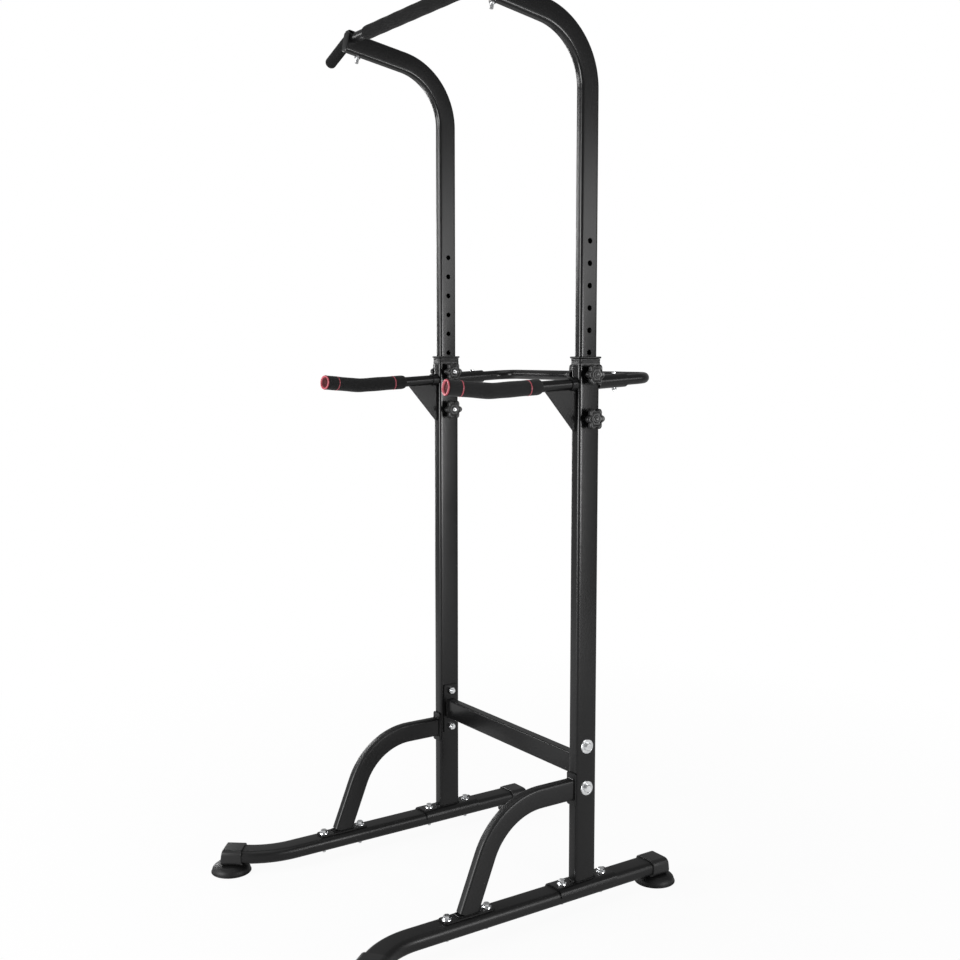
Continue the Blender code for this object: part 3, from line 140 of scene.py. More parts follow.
# Lock knobs
STAR_RADIUS, STAR_WAVE, STAR_LOBES = 0.0222, 0.0034, 6
STAR_THICKNESS, STAR_BOSS_RADIUS, STAR_BOSS_LENGTH = 0.014, 0.011, 0.012
LOCK_RADIUS, LOCK_THREAD, STAR_SOCKET, BOLT_STAND_OUT = 0.0048, 0.030, 0.018, 0.005
STAR_STEPS = 144

# The photograph's viewpoint
CAMERA_AT = Vector((2.4503, -1.7721 + UPRIGHT_Y, 1.3011))
CAMERA_TURN, CAMERA_DIP = 0.9691, 0.0951
CAMERA_FOCAL, CAMERA_CENTRE, FRAME_SIDE, SENSOR = 1216.1, (480.4, 470.4), 960, 36.0

# Floor, room, and the painted shade that darkens the pull-up bar's foam
FLOOR_REACH, FLOOR_GLOW, FADE_START, FADE_END = 60.0, 0.94, 0.6, 2.4
# How far the bar's foam is darkened and dulled as painted shade
ROOM_LIGHT, MIRRORED_SHARE, BAR_FOAM_PAINTED_SHADE, WHITE = 0.12, 0.2, 0.45, (1, 1, 1, 1)

# How a flat shape is turned to stand up
TOWARDS_FRONT = (math.pi / 2, 0, 0)
TOWARDS_SIDE = (math.pi / 2, 0, math.pi / 2)


class TowerSizes(bpy.types.PropertyGroup):
    ring_width: FloatProperty(
        name="Ring width", description="Width of the coloured rings on the dip grips",
        default=0.0026, min=0.001, max=0.006, subtype="DISTANCE", unit="LENGTH")
    ring_stand: FloatProperty(
        name="Ring stand", description="How far a ring stands proud of the foam",
        default=0.0004, min=0.0, max=0.002, subtype="DISTANCE", unit="LENGTH")
    thread_pitch: FloatProperty(
        name="Thread pitch", description="Distance between the bolts' thread ridges",
        default=0.00125, min=0.0005, max=0.003, subtype="DISTANCE", unit="LENGTH")
    weld_bead: FloatProperty(
        name="Weld bead", description="Radius of the weld beads",
        default=0.0019, min=0.0005, max=0.004, subtype="DISTANCE", unit="LENGTH")
    tube_sides: IntProperty(
        name="Tube sides", description="Faces round the round bars",
        default=40, min=12, max=96)


class TowerColours(bpy.types.PropertyGroup):
    coat: FloatVectorProperty(
        name="Powder coat", description="Colour of the coated steel",
        default=(0.005, 0.005, 0.0052), size=3, min=0, max=1, subtype="COLOR")
    foam: FloatVectorProperty(
        name="Foam", description="Colour of the foam grips",
        default=(0.008, 0.008, 0.0083), size=3, min=0, max=1, subtype="COLOR")
    ring: FloatVectorProperty(
        name="Rings", description="Colour of the dip grips' rings",
        default=(0.36, 0.06, 0.08), size=3, min=0, max=1, subtype="COLOR")
    plug: FloatVectorProperty(
        name="Plug face", description="Colour of the plug inside the end ring",
        default=(0.045, 0.004, 0.006), size=3, min=0, max=1, subtype="COLOR")
    plastic: FloatVectorProperty(
        name="Plastic", description="Colour of the knobs, caps and bushes",
        default=(0.006, 0.006, 0.0062), size=3, min=0, max=1, subtype="COLOR")
    rubber: FloatVectorProperty(
        name="Rubber", description="Colour of the suction cups",
        default=(0.005, 0.005, 0.0052), size=3, min=0, max=1, subtype="COLOR")
    zinc: FloatVectorProperty(
        name="Zinc", description="Colour of the bolts",
        default=(0.80, 0.81, 0.82), size=3, min=0, max=1, subtype="COLOR")
    floor: FloatVectorProperty(
        name="Floor", description="Colour of the floor and the backdrop",
        default=(0.70, 0.70, 0.70), size=3, min=0, max=1, subtype="COLOR")


def sizes():
    return bpy.context.scene.tower_sizes


def colours():
    return bpy.context.scene.tower_colours


# Materials

def fill(made, inputs):
    """Fills a node's inputs with values, sockets or nodes, whose first output is linked."""
    for name, source in inputs.items():
        if isinstance(source, bpy.types.Node):
            source = source.outputs[0]
        if isinstance(source, bpy.types.NodeSocket):
            made.id_data.links.new(source, made.inputs[name])
        else:
            made.inputs[name].default_value = source
    return made


def node(tree, kind, inputs=None, **attributes):
    """Adds a node with its inputs, which come by name or index, and its attributes."""
    made = tree.nodes.new(kind)
    for name, value in attributes.items():
        setattr(made, name, value)
    return fill(made, inputs or {})


def new_material(name):
    material = bpy.data.materials.new(name)
    material.use_nodes = True
    return material, material.node_tree, material.node_tree.nodes["Principled BSDF"]


def in_range(tree, source, low, high, start=0.3, end=0.7):
    """Spreads a noise's middle over a range of values."""
    return node(tree, "ShaderNodeMapRange", {0: source, 1: start, 2: end, 3: low, 4: high})


def finish(colour, shade, roughness, grain, depth, blotch=6.0, **extra):
    """A plain finish with mottled colour, uneven gloss and a fine grain.

    shade is how far the colour strays, roughness its lowest and highest, grain the
    bumps per metre and depth their height."""
    material, tree, shader = new_material("finish")
    place = node(tree, "ShaderNodeTexCoord").outputs["Object"]
    wide, fine = [
        node(tree, "ShaderNodeTexNoise", {"Vector": place, "Scale": scale, "Detail": detail})
        for scale, detail in ((blotch, 3.0), (grain, 2.0))]
    mottle = node(tree, "ShaderNodeMix", {
        "Factor": in_range(tree, wide, 0.0, 1.0),
        "A": (*[c * (1 - shade) for c in colour], 1),
        "B": (*[min(c * (1 + shade), 1) for c in colour], 1)}, data_type="RGBA")
    fill(shader, {
        "Base Color": mottle.outputs["Result"],
        "Roughness": in_range(tree, wide, *roughness),
        "Normal": node(tree, "ShaderNodeBump", {"Height": fine, "Distance": depth, "Strength": 1.0}),
        **{label.replace("_", " "): value for label, value in extra.items()}})
    material.diffuse_color = (*colour, 1)
    return material


def powder_coat():
    """Satin black powder coat with a faint orange peel."""
    return finish(
        colours().coat, 0.12, (0.22, 0.27), 900, 0.00001, 3.0, Specular_IOR_Level=0.30)


def coarse_coat():
    """The feet's and braces' powder coat: a duller gloss."""
    return finish(
        colours().coat, 0.12, (0.35, 0.43), 900, 0.00001, 3.0, Specular_IOR_Level=0.28)


def foam_skin(share=1.0):
    """Closed-cell foam: matt, with small pits and a dusty sheen."""
    # A share below 1 paints shade on the foam: it darkens the colour and dims the sheen and gloss.
    material = finish(
        [channel * share for channel in colours().foam], 0.22, (0.86, 0.96), 520, 0.00035, 30.0,
        Sheen_Weight=0.06 * share, Sheen_Roughness=0.5, Specular_IOR_Level=0.3 * share)
    tree = material.node_tree
    bump = next(n for n in tree.nodes if n.type == "BUMP")
    place = node(tree, "ShaderNodeTexCoord").outputs["Object"]
    cells = node(tree, "ShaderNodeTexVoronoi", {"Vector": place, "Scale": 700.0})
    pits = node(tree, "ShaderNodeBump", {
        "Height": cells, "Normal": bump, "Distance": 0.0003, "Strength": 0.7})
    fill(tree.nodes["Principled BSDF"], {"Normal": pits})
    return material


def painted_shade_bar_foam():
    """The pull-up bar's foam: the handles' foam with painted shade, its colour, sheen and gloss scaled
    down.
    """
    return foam_skin(BAR_FOAM_PAINTED_SHADE)


def ring_plastic():
    return finish(colours().ring, 0.06, (0.34, 0.44), 700, 0.00002)


def plug_plastic():
    return finish(
        colours().plug, 0.25, (0.55, 0.70), 700, 0.00003, 260.0, Specular_IOR_Level=0.15)


def black_plastic():
    """Moulded plastic with a fine spark-eroded texture."""
    return finish(
        colours().plastic, 0.10, (0.33, 0.43), 1100, 0.00004, Specular_IOR_Level=0.40)


def cup_rubber():
    return finish(
        colours().rubber, 0.15, (0.42, 0.56), 260, 0.00003, 14.0, Specular_IOR_Level=0.26)


def bright_zinc():
    """Bright zinc plate, a little uneven."""
    return finish(colours().zinc, 0.10, (0.15, 0.26), 600, 0.00002, 90.0, Metallic=1.0)


def shared(maker):
    """A finish that is made once and used again."""
    name = f"tower_{maker.__name__}"
    if name not in bpy.data.materials:
        maker().name = name
    return bpy.data.materials[name]


def background_rays(tree):
    """How much of the white background a ray sees: the camera's all of it, mirrored ones a share."""
    rays = node(tree, "ShaderNodeLightPath").outputs
    mirrored = node(tree, "ShaderNodeMath", {
        0: rays["Is Glossy Ray"], 1: rays["Is Transmission Ray"]}, operation="MAXIMUM")
    part = node(tree, "ShaderNodeMath", {0: mirrored, 1: MIRRORED_SHARE}, operation="MULTIPLY")
    return node(tree, "ShaderNodeMath", {0: rays["Is Camera Ray"], 1: part}, operation="MAXIMUM")


# Outlines and paths

def round_rectangle(width, height, corner, steps=6, support=0.0003):
    """A rectangle with round corners. A support point beside each arc keeps the flats flat."""
    points = []
    for turn, (sx, sy) in enumerate(((1, 1), (-1, 1), (-1, -1), (1, -1))):
        cx, cy = sx * (width / 2 - corner), sy * (height / 2 - corner)
        arc = [math.pi / 2 * (turn + step / steps) for step in range(steps + 1)]
        ring = [(cx + corner * math.cos(a), cy + corner * math.sin(a)) for a in arc]
        (x0, y0), (x1, y1) = ring[0], ring[-1]
        before = (x0 + support * math.sin(arc[0]), y0 - support * math.cos(arc[0]))
        after = (x1 - support * math.sin(arc[-1]), y1 + support * math.cos(arc[-1]))
        points += [before, *ring, after]
    return points


def tube_section(width, depth, corner, steps=6):
    """The section of a rolled tube: round corners, and faces that swell a little."""
    side_radius, end_radius = [
        (half * half + TUBE_SWELL * TUBE_SWELL) / (2 * TUBE_SWELL) for half in (depth / 2, width / 2)]
    side_centre = Vector((width / 2 - side_radius, 0))
    end_centre = Vector((0, depth / 2 - end_radius))
    centre = max(intersect_sphere_sphere_2d(
        side_centre, side_radius - corner, end_centre, end_radius - corner), key=sum)
    low, high = [math.atan2(*(centre - start).yx) for start in (side_centre, end_centre)]
    quarter = []
    for pivot, radius, start, end in (
            (side_centre, side_radius, 0.0, low), (centre, corner, low, high),
            (end_centre, end_radius, high, math.pi / 2)):
        for step in range(steps):
            angle = start + (end - start) * step / steps
            quarter.append(pivot + radius * Vector((math.cos(angle), math.sin(angle))))
    quarter.append(Vector((0, depth / 2)))
    turned = ((1, 1, 1), (-1, 1, -1), (-1, -1, 1), (1, -1, -1))
    return [(sx * p.x, sy * p.y) for sx, sy, order in turned for p in quarter[::order][:-1]]


def tube_walls(width, depth, corner, wall):
    """A tube's outer and inner section."""
    return [tube_section(width - 2 * t, depth - 2 * t, corner - t) for t in (0.0, wall)]


def circle(radius, sides):
    turn = 2 * math.pi / sides
    return [(radius * math.cos(turn * i), radius * math.sin(turn * i)) for i in range(sides)]


def quarter_turn(steps):
    return [math.pi / 2 * i / steps for i in range(steps + 1)]


def rounded_path(corners, radius):
    """A polyline with its inner corners turned on arcs."""
    corners = [Vector(corner) for corner in corners]
    points = corners[:1]
    for before, at, after in zip(corners, corners[1:], corners[2:]):
        into, out = (at - before).normalized(), (after - at).normalized()
        turn = into.angle(out)
        start = at - into * radius * math.tan(turn / 2)
        side = (out - into * into.dot(out)).normalized()
        centre = start + side * radius
        count = max(2, math.ceil(turn / ARC_STEP))
        for i in range(count + 1):
            angle = turn * i / count
            points.append(centre - side * radius * math.cos(angle) + into * radius * math.sin(angle))
    return points + corners[-1:]


def length_of(path):
    return sum((b - a).length for a, b in zip(path, path[1:]))


def point_at(path, distance):
    run = 0.0
    for a, b in zip(path, path[1:]):
        length = (b - a).length
        if distance <= run + length or b is path[-1]:
            return a.lerp(b, (distance - run) / length)
        run += length


def heading_at(path, distance):
    a = point_at(path, max(distance - HEADING_REACH, 0.0))
    b = point_at(path, min(distance + HEADING_REACH, length_of(path)))
    return (b - a).normalized()


def frames_along(path, side):
    """Each point's two cross directions. side keeps the first one fixed."""
    tangents = []
    for i in range(len(path)):
        before, after = path[max(i - 1, 0)], path[min(i + 1, len(path) - 1)]
        tangents.append((after - before).normalized())
    across = Vector(side) if side else tangents[0].orthogonal().normalized()
    frames = []
    for point, tangent in zip(path, tangents):
        if not side:
            across = (across - tangent * across.dot(tangent)).normalized()
        frames.append((point, across, tangent.cross(across)))
    return frames


# Meshes

def add_rings(bm, rings):
    """Adds rings of points and closes each to the next with a band of faces."""
    made = [[bm.verts.new(point) for point in ring] for ring in rings]
    for low, high in zip(made, made[1:]):
        bridge(bm, low, high)
    return made


def fan(bm, ring, at):
    """Closes a ring with triangles to a middle point."""
    tip = bm.verts.new(at)
    for i in range(len(ring)):
        bm.faces.new((ring[i], ring[(i + 1) % len(ring)], tip))


def bridge(bm, outer, inner):
    for i in range(len(outer)):
        j = (i + 1) % len(outer)
        bm.faces.new((outer[i], outer[j], inner[j], inner[i]))


def tidy_mesh(mesh, angle=35.0):
    """Points the faces outwards and shades the mesh smooth up to an angle."""
    bm = bmesh.new()
    bm.from_mesh(mesh)
    bmesh.ops.remove_doubles(bm, verts=bm.verts, dist=SAME_POINT)
    bmesh.ops.dissolve_degenerate(bm, edges=bm.edges, dist=NO_LENGTH)
    bmesh.ops.recalc_face_normals(bm, faces=bm.faces)
    bm.to_mesh(mesh)
    bm.free()
    mesh.shade_smooth()
    mesh.set_sharp_from_angle(angle=math.radians(angle))


def added(name, data):
    """A new object in the scene."""
    thing = bpy.data.objects.new(name, data)
    bpy.context.scene.collection.objects.link(thing)
    return thing


def piece(name, bm, material=None, angle=35.0, place=None):
    """A finished piece at the origin, with its place in its mesh."""
    if place:
        bmesh.ops.transform(bm, matrix=place, verts=bm.verts)
    mesh = bpy.data.meshes.new(name)
    bm.to_mesh(mesh)
    bm.free()
    tidy_mesh(mesh, angle)
    if material:
        mesh.materials.append(material)
    return added(name, mesh)


def settle(thing):
    """Applies a piece's modifiers to its mesh."""
    bpy.context.view_layer.update()
    seen = thing.evaluated_get(bpy.context.evaluated_depsgraph_get())
    before, thing.data = thing.data, bpy.data.meshes.new_from_object(seen)
    thing.modifiers.clear()
    bpy.data.meshes.remove(before)
    tidy_mesh(thing.data)


def rings_on(path, outlines, side=None):
    return [
        [point + across * a + up * b for a, b in outline]
        for (point, across, up), outline in zip(frames_along(path, side), outlines)
    ]


def bar_mesh(path, outline, side=None):
    """A closed bar of one outline along a path."""
    bm = bmesh.new()
    rings = add_rings(bm, rings_on(path, [outline] * len(path), side))
    bm.faces.new(rings[0])
    bm.faces.new(rings[-1])
    return bm


def tube_of(path, outlines, bores, side=None):
    """A tube open at both ends, with an outline and a bore for each point of its path."""
    bm = bmesh.new()
    outers, inners = [add_rings(bm, rings_on(path, given, side)) for given in (outlines, bores)]
    for end in (0, -1):
        bridge(bm, outers[end], inners[end])
    return bm


def tube_mesh(path, outer, inner, side=None):
    """A tube of one section."""
    return tube_of(path, [outer] * len(path), [inner] * len(path), side)


def turned_mesh(profile, steps):
    """A body turned from (radius, height) points round the Z axis."""
    bm = bmesh.new()
    rings = []
    for radius, height in profile:
        if radius > SAME_POINT:
            rings.append([bm.verts.new((x, y, height)) for x, y in circle(radius, steps)])
        else:
            rings.append([bm.verts.new((0, 0, height))])
    for low, high in zip(rings, rings[1:]):
        for i in range(steps):
            j = (i + 1) % steps
            corners = [low[i % len(low)], low[j % len(low)], high[j % len(high)], high[i % len(high)]]
            bm.faces.new(list(dict.fromkeys(corners)))
    return bm


def slab_mesh(outline, thickness, edge=0.0008):
    """An outline in XY, thickened to both sides of Z = 0, with softened edges."""
    bm = bmesh.new()
    face = bm.faces.new([bm.verts.new((x, y, -thickness / 2)) for x, y in outline])
    raised = bmesh.ops.extrude_face_region(bm, geom=[face])["geom"]
    moved = [v for v in raised if isinstance(v, bmesh.types.BMVert)]
    bmesh.ops.translate(bm, verts=moved, vec=(0, 0, thickness))
    bmesh.ops.recalc_face_normals(bm, faces=bm.faces)
    if edge:
        sharp = [e for e in bm.edges if len(e.link_faces) == 2 and e.calc_face_angle() > SHARP_EDGE]
        bmesh.ops.bevel(bm, geom=sharp, offset=edge, segments=2, affect="EDGES", clamp_overlap=True)
    return bm


def merged(meshes):
    """One mesh from several, each given with its place."""
    whole = bmesh.new()
    for bm, place in meshes:
        bmesh.ops.recalc_face_normals(bm, faces=bm.faces)
        if place:
            bmesh.ops.transform(bm, matrix=place, verts=bm.verts)
        mesh = bpy.data.meshes.new("part")
        bm.to_mesh(mesh)
        bm.free()
        whole.from_mesh(mesh)
        bpy.data.meshes.remove(mesh)
    return whole


def placed(location, rotation=(0, 0, 0)):
    return Matrix.Translation(location) @ Euler(rotation).to_matrix().to_4x4()


def facing(location, direction):
    return Matrix.Translation(location) @ Vector(direction).to_track_quat("Z", "Y").to_matrix().to_4x4()


def bored(thing, cutters, material):
    """Cuts a piece with the given meshes and gives the result its material."""
    tool = piece("cutter", merged(cutters))
    cut = thing.modifiers.new("bore", "BOOLEAN")
    cut.operation = "DIFFERENCE"
    cut.solver = "EXACT"
    cut.object = tool
    settle(thing)
    thing.data.materials.clear()
    thing.data.materials.append(material)
    bpy.data.objects.remove(tool, do_unlink=True)


def dress(thing, maker, *nodes, body="tower"):
    """Rides a piece on its body and hides the solids it stands for."""
    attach(thing, body)
    if nodes:
        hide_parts(*nodes)
    return thing


def show(name, bm, maker, *nodes, body="tower", angle=35.0, place=None):
    """Makes a piece from its mesh and dresses the solids with it."""
    return dress(piece(name, bm, shared(maker), angle, place), maker, *nodes, body=body)


# Geometry node trees

def tree_of(name, inputs, build):
    """The node tree of a name, made once. build adds its nodes and returns the last."""
    if name in bpy.data.node_groups:
        return bpy.data.node_groups[name]
    tree = bpy.data.node_groups.new(name, "GeometryNodeTree")
    for label, kind in (("Geometry", "Geometry"), *inputs, ("Material", "Material")):
        tree.interface.new_socket(label, in_out="INPUT", socket_type=f"NodeSocket{kind}")
    tree.interface.new_socket("Geometry", in_out="OUTPUT", socket_type="NodeSocketGeometry")
    given = tree.nodes.new("NodeGroupInput").outputs
    real = node(tree, "GeometryNodeRealizeInstances", {0: build(tree, given)})
    coat = node(tree, "GeometryNodeSetMaterial", {0: real, 2: given["Material"]})
    node(tree, "NodeGroupOutput", {0: coat})
    return tree


def grown(name, tree, points, maker, values, linked=True):
    """Runs a tree on a carrier of points, linked to one path or loose, as a plain piece."""
    mesh = bpy.data.meshes.new(name)
    edges = [(i, i + 1) for i in range(len(points) - 1)] if linked else []
    mesh.from_pydata([tuple(p) for p in points], edges, [])
    thing = added(name, mesh)
    modifier = thing.modifiers.new(tree.name, "NODES")
    modifier.node_group = tree
    values["Material"] = shared(maker)
    for item in tree.interface.items_tree:
        if item.in_out == "INPUT" and item.name in values:
            modifier[item.identifier] = values[item.name]
    settle(thing)
    return thing


def bar_shape(tree, value):
    """A round bar along the carrier's path."""
    path = node(tree, "GeometryNodeMeshToCurve", {0: value["Geometry"]})
    ring = node(tree, "GeometryNodeCurvePrimitiveCircle", {
        "Resolution": value["Sides"], "Radius": value["Radius"]})
    return node(tree, "GeometryNodeCurveToMesh", {
        "Curve": path, "Profile Curve": ring, "Fill Caps": True})


def round_bar(name, path, radius, *nodes, body="tower"):
    tree = tree_of("round_bar", (("Radius", "Float"), ("Sides", "Int")), bar_shape)
    values = {"Radius": radius, "Sides": sizes().tube_sides}
    dress(grown(name, tree, path, powder_coat, values), powder_coat, *nodes, body=body)


BOLT_INPUTS = (
    "Head Radius", "Head Height", "Flange Radius", "Flange Height", "Shank Radius",
    "Nut Radius", "Nut Height", "Stand Out", "Grip", "Pitch")
# Each kind's measures in the order of the inputs, all but the pitch
BOLT_KINDS = {
    "foot": (0.0086, 0.0082, 0.0115, 0.0018, 0.0040, 0.0075, 0.0065, 0.0045,
             PLATE + FOOT_HEIGHT + 3 * GAP),
    "crossbar": (0.0095, 0.0060, 0.0175, 0.0020, 0.0050, 0.0098, 0.0090, 0.0040,
                 LOWER_WIDTH + PLATE + 3 * GAP),
    "socket": (0.0055, 0.0032, 0.0055, 0.0003, 0.0030, 0.0056, 0.0045, 0.0030,
               2 * (SOCKET_RADIUS + GAP)),
    "clamp": (0.0072, 0.0048, 0.0072, 0.0004, 0.0040, 0.0075, 0.0065, 0.0112,
              MAST_DEPTH + CLAMP + 2 * GAP)}


def bolt_shape(tree, value):
    """A bolt at each of the carrier's points, its head up, its seat at the point.

    Grip is the distance from the head's seat down to the nut's."""

    def sum_of(*terms):
        """Adds sockets, each times its factor."""
        total = None
        for source, factor in terms:
            term = node(tree, "ShaderNodeMath", {0: source, 1: factor}, operation="MULTIPLY")
            total = term if total is None else node(tree, "ShaderNodeMath", {0: total, 1: term})
        return total

    def lifted(shape, height):
        lift = node(tree, "ShaderNodeCombineXYZ", {"Z": height})
        return node(tree, "GeometryNodeTransform", {"Geometry": shape, "Translation": lift})

    def disc(low, high, height, centre, sides=32):
        """A round or many-sided disc that may taper towards its top."""
        shape = node(tree, "GeometryNodeMeshCone", {
            "Vertices": sides, "Radius Bottom": low, "Radius Top": high, "Depth": height})
        return lifted(shape, sum_of((centre, 1.0), (height, -0.5)))

    def hoop(radius, steps, wire, wire_steps):
        """A ring of round or edged wire."""
        loop, section = [
            node(tree, "GeometryNodeCurvePrimitiveCircle", {"Radius": reach, "Resolution": count})
            for reach, count in ((radius, steps), (wire, wire_steps))]
        return node(tree, "GeometryNodeCurveToMesh", {"Curve": loop, "Profile Curve": section})

    head_r, head_h, flange_r, flange_h, shank_r, nut_r, nut_h, stand, grip, pitch = [
        value[label] for label in BOLT_INPUTS]
    head_sides = value["Head Sides"]
    shapes = [
        disc(flange_r, sum_of((flange_r, 0.94)), flange_h, sum_of((flange_h, 0.5))),
        disc(head_r, head_r, sum_of((head_h, 0.72)),
             sum_of((flange_h, 1.0), (head_h, 0.36)), head_sides),
        disc(head_r, sum_of((head_r, 0.80)), sum_of((head_h, 0.28)),
             sum_of((flange_h, 1.0), (head_h, 0.86)), head_sides),
        disc(shank_r, shank_r, sum_of((grip, 1.0), (nut_h, 1.0), (stand, 1.0)),
             sum_of((grip, -0.5), (nut_h, -0.5), (stand, -0.5))),
        disc(sum_of((nut_r, 0.86)), nut_r, sum_of((nut_h, 0.2)),
             sum_of((grip, -1.0), (nut_h, -0.9)), NUT_SIDES),
        disc(nut_r, nut_r, sum_of((nut_h, 0.8)),
             sum_of((grip, -1.0), (nut_h, -0.4)), NUT_SIDES),
        lifted(hoop(sum_of((flange_r, 0.93), (flange_h, -0.2)), 32, sum_of((flange_h, 0.45)), 6),
               sum_of((flange_h, 0.85))),
    ]
    start = node(tree, "ShaderNodeCombineXYZ", {"Z": sum_of((grip, -1.0), (nut_h, -1.0))})
    row = node(tree, "GeometryNodeMeshLine", {
        "Count": node(tree, "ShaderNodeMath", {0: stand, 1: pitch}, operation="DIVIDE"),
        "Start Location": start,
        "Offset": node(tree, "ShaderNodeCombineXYZ", {"Z": sum_of((pitch, -1.0))})})
    ridges = node(tree, "GeometryNodeInstanceOnPoints", {
        "Points": row, "Instance": hoop(shank_r, 16, sum_of((pitch, 0.42)), 3)})
    whole = node(tree, "GeometryNodeJoinGeometry")
    for shape in [*shapes, ridges]:
        fill(whole, {0: shape})
    turned = node(tree, "GeometryNodeTransform", {"Geometry": whole, "Rotation": value["Facing"]})
    return node(tree, "GeometryNodeInstanceOnPoints", {
        "Points": value["Geometry"], "Instance": turned})


def bolts(name, kind, points, direction, *nodes, body="tower", sides=NUT_SIDES):
    """A set of like bolts with one direction, as one piece."""
    inputs = [(label, "Float") for label in BOLT_INPUTS]
    tree = tree_of(
        "nut_and_bolt", (*inputs, ("Head Sides", "Int"), ("Facing", "Vector")), bolt_shape)
    values = dict(zip(BOLT_INPUTS, (*BOLT_KINDS[kind], sizes().thread_pitch)))
    turn = Vector(direction).to_track_quat("Z", "Y").to_euler()
    values.update({"Head Sides": sides, "Facing": tuple(turn)})
    dress(grown(name, tree, points, bright_zinc, values, linked=False), bright_zinc, *nodes, body=body)


def weld_shape(tree, value):
    """Overlapping scales along the carrier's path, as on a hand-laid weld."""
    path = node(tree, "GeometryNodeMeshToCurve", {0: value["Geometry"]})
    spots = node(tree, "GeometryNodeCurveToPoints", {
        "Curve": path, "Length": value["Spacing"]}, mode="LENGTH")
    scale = node(tree, "GeometryNodeMeshIcoSphere", {"Radius": value["Radius"], "Subdivisions": 1})
    return node(tree, "GeometryNodeInstanceOnPoints", {
        "Points": spots, "Instance": scale, "Rotation": spots.outputs["Rotation"],
        "Scale": (1.0, 1.0, 0.75)})


def weld(name, path):
    radius = sizes().weld_bead
    tree = tree_of("weld_bead", (("Radius", "Float"), ("Spacing", "Float")), weld_shape)
    values = {"Radius": radius, "Spacing": radius * 0.9}
    dress(grown(name, tree, path, powder_coat, values), powder_coat)


def bead_stand():
    """How far the middle of a weld stands off the steel."""
    return sizes().weld_bead * 0.4


def weld_round(name, width, depth, corner, place):
    """A weld round a tube of that section, which place brings to its plate."""
    bead = bead_stand()
    ring = [place @ Vector((a, b, 0)) for a, b in
            round_rectangle(width + bead, depth + bead, corner, 5)]
    weld(name, ring + ring[:1])


# Feet

def foot_path(side):
    x, z = side * HALF_SPACING, FOOT_BOTTOM + FOOT_HEIGHT / 2
    trim = FOOT_BEND_RADIUS * math.tan(FOOT_SPLAY / 2)
    knee = Vector((x, UPRIGHT_Y - FOOT_STRAIGHT - trim, z))
    toe = Vector((side * math.sin(FOOT_SPLAY), -math.cos(FOOT_SPLAY), 0))
    start = (x, UPRIGHT_Y + FOOT_REAR, z)
    return rounded_path([start, knee, knee + toe * (trim + FOOT_TOE)], FOOT_BEND_RADIUS)


def cap_mesh():
    """A foot cap: a sleeve round the tube with a straight, slightly raked end along +Y."""
    width, height = FOOT_WIDTH + 2 * (GAP + CAP_WALL), FOOT_HEIGHT + 2 * (GAP + CAP_WALL)
    edge, lead, support, bottom = CAP_EDGE, 0.0012, 0.0002, -0.0002
    stations = [(-CAP_REACH, lead), (-CAP_REACH + lead, 0.0)]
    stations += [(CAP_END - edge + edge * math.sin(angle), edge * (1 - math.cos(angle)))
                 for angle in quarter_turn(6)]
    bm = bmesh.new()
    rings = []
    for along, shrink in stations:
        outline = round_rectangle(
            width - 2 * shrink, height - 2 * shrink, CAP_CORNER - shrink, support=support)
        share = max(along, 0.0) / CAP_END
        rings.append([(a, along - share * CAP_RAKE * (b / height + 0.5), b) for a, b in outline])
    made = add_rings(bm, rings)
    fan(bm, made[-1], (0, CAP_END - CAP_RAKE / 2, 0))
    inner = round_rectangle(
        FOOT_WIDTH + 2 * GAP, FOOT_HEIGHT + 2 * GAP, FOOT_CORNER + GAP, support=support)
    pocket = add_rings(bm, [[(a, y, b) for a, b in inner] for y in (-CAP_REACH, bottom)])
    bridge(bm, made[0], pocket[0])
    fan(bm, pocket[-1], (0, bottom, 0))
    return bm


def cup_mesh():
    """A suction cup: a bell with a step, a bead at the rim and a hollow underneath."""
    crown = FOOT_BOTTOM - 2 * GAP - CAP_WALL
    bead, step_at, step = 0.0016, 0.62, 0.0008
    profile = [(0, crown), (CUP_CROWN * 0.9, crown)]
    for angle in quarter_turn(20):
        reach = CUP_CROWN + (CUP_RADIUS - bead - CUP_CROWN) * math.sin(angle)
        height = CUP_LIP + (crown - CUP_LIP) * math.cos(angle) ** 0.8
        profile.append((reach, height - (step if math.sin(angle) > step_at else 0.0)))
    profile += [(CUP_RADIUS - bead * 0.4, CUP_LIP), (CUP_RADIUS, CUP_LIP - step),
                (CUP_RADIUS, 0.0006), (CUP_RADIUS - 0.0006, 0)]
    rim = CUP_RADIUS - CUP_RIM
    profile += [(rim * math.sin(angle), (crown - CUP_WALL) * math.cos(angle))
                for angle in reversed(quarter_turn(20))]
    return turned_mesh(profile, 72)


class TOWER_OT_feet(bpy.types.Operator):
    """Makes the foot tubes with their caps and suction cups"""
    bl_idname = "tower.feet"
    bl_label = "Feet"

    def execute(self, context):
        outline = tube_section(FOOT_HEIGHT, FOOT_WIDTH, FOOT_CORNER, 8)
        for side, tag in SIDES:
            path = foot_path(side)
            show(f"foot_rail_{tag}", bar_mesh(path, outline, (0, 0, 1)), coarse_coat,
                 f"foot_tube_{tag}")
            for end, at, before in (("rear", path[0], path[1]), ("front", path[-1], path[-2])):
                out = (at - before).normalized()
                show(f"foot_boot_{end}_{tag}", cap_mesh(), black_plastic,
                     f"foot_cap_{end}_{tag}", angle=40,
                     place=placed(at, (0, 0, math.atan2(-out.x, out.y))))
                spot = at - out * CUP_SETBACK
                show(f"cup_dome_{end}_{tag}", cup_mesh(), cup_rubber, f"suction_cup_{end}_{tag}",
                     angle=40, place=placed((spot.x, spot.y, 0)))
        return {"FINISHED"}


# Lower uprights

def dip_point(x, y):
    """A point on the tilted level of the dip handles, y counted from the uprights."""
    return Vector((x, UPRIGHT_Y + y, DIP_HEIGHT + y * math.tan(DIP_TILT)))


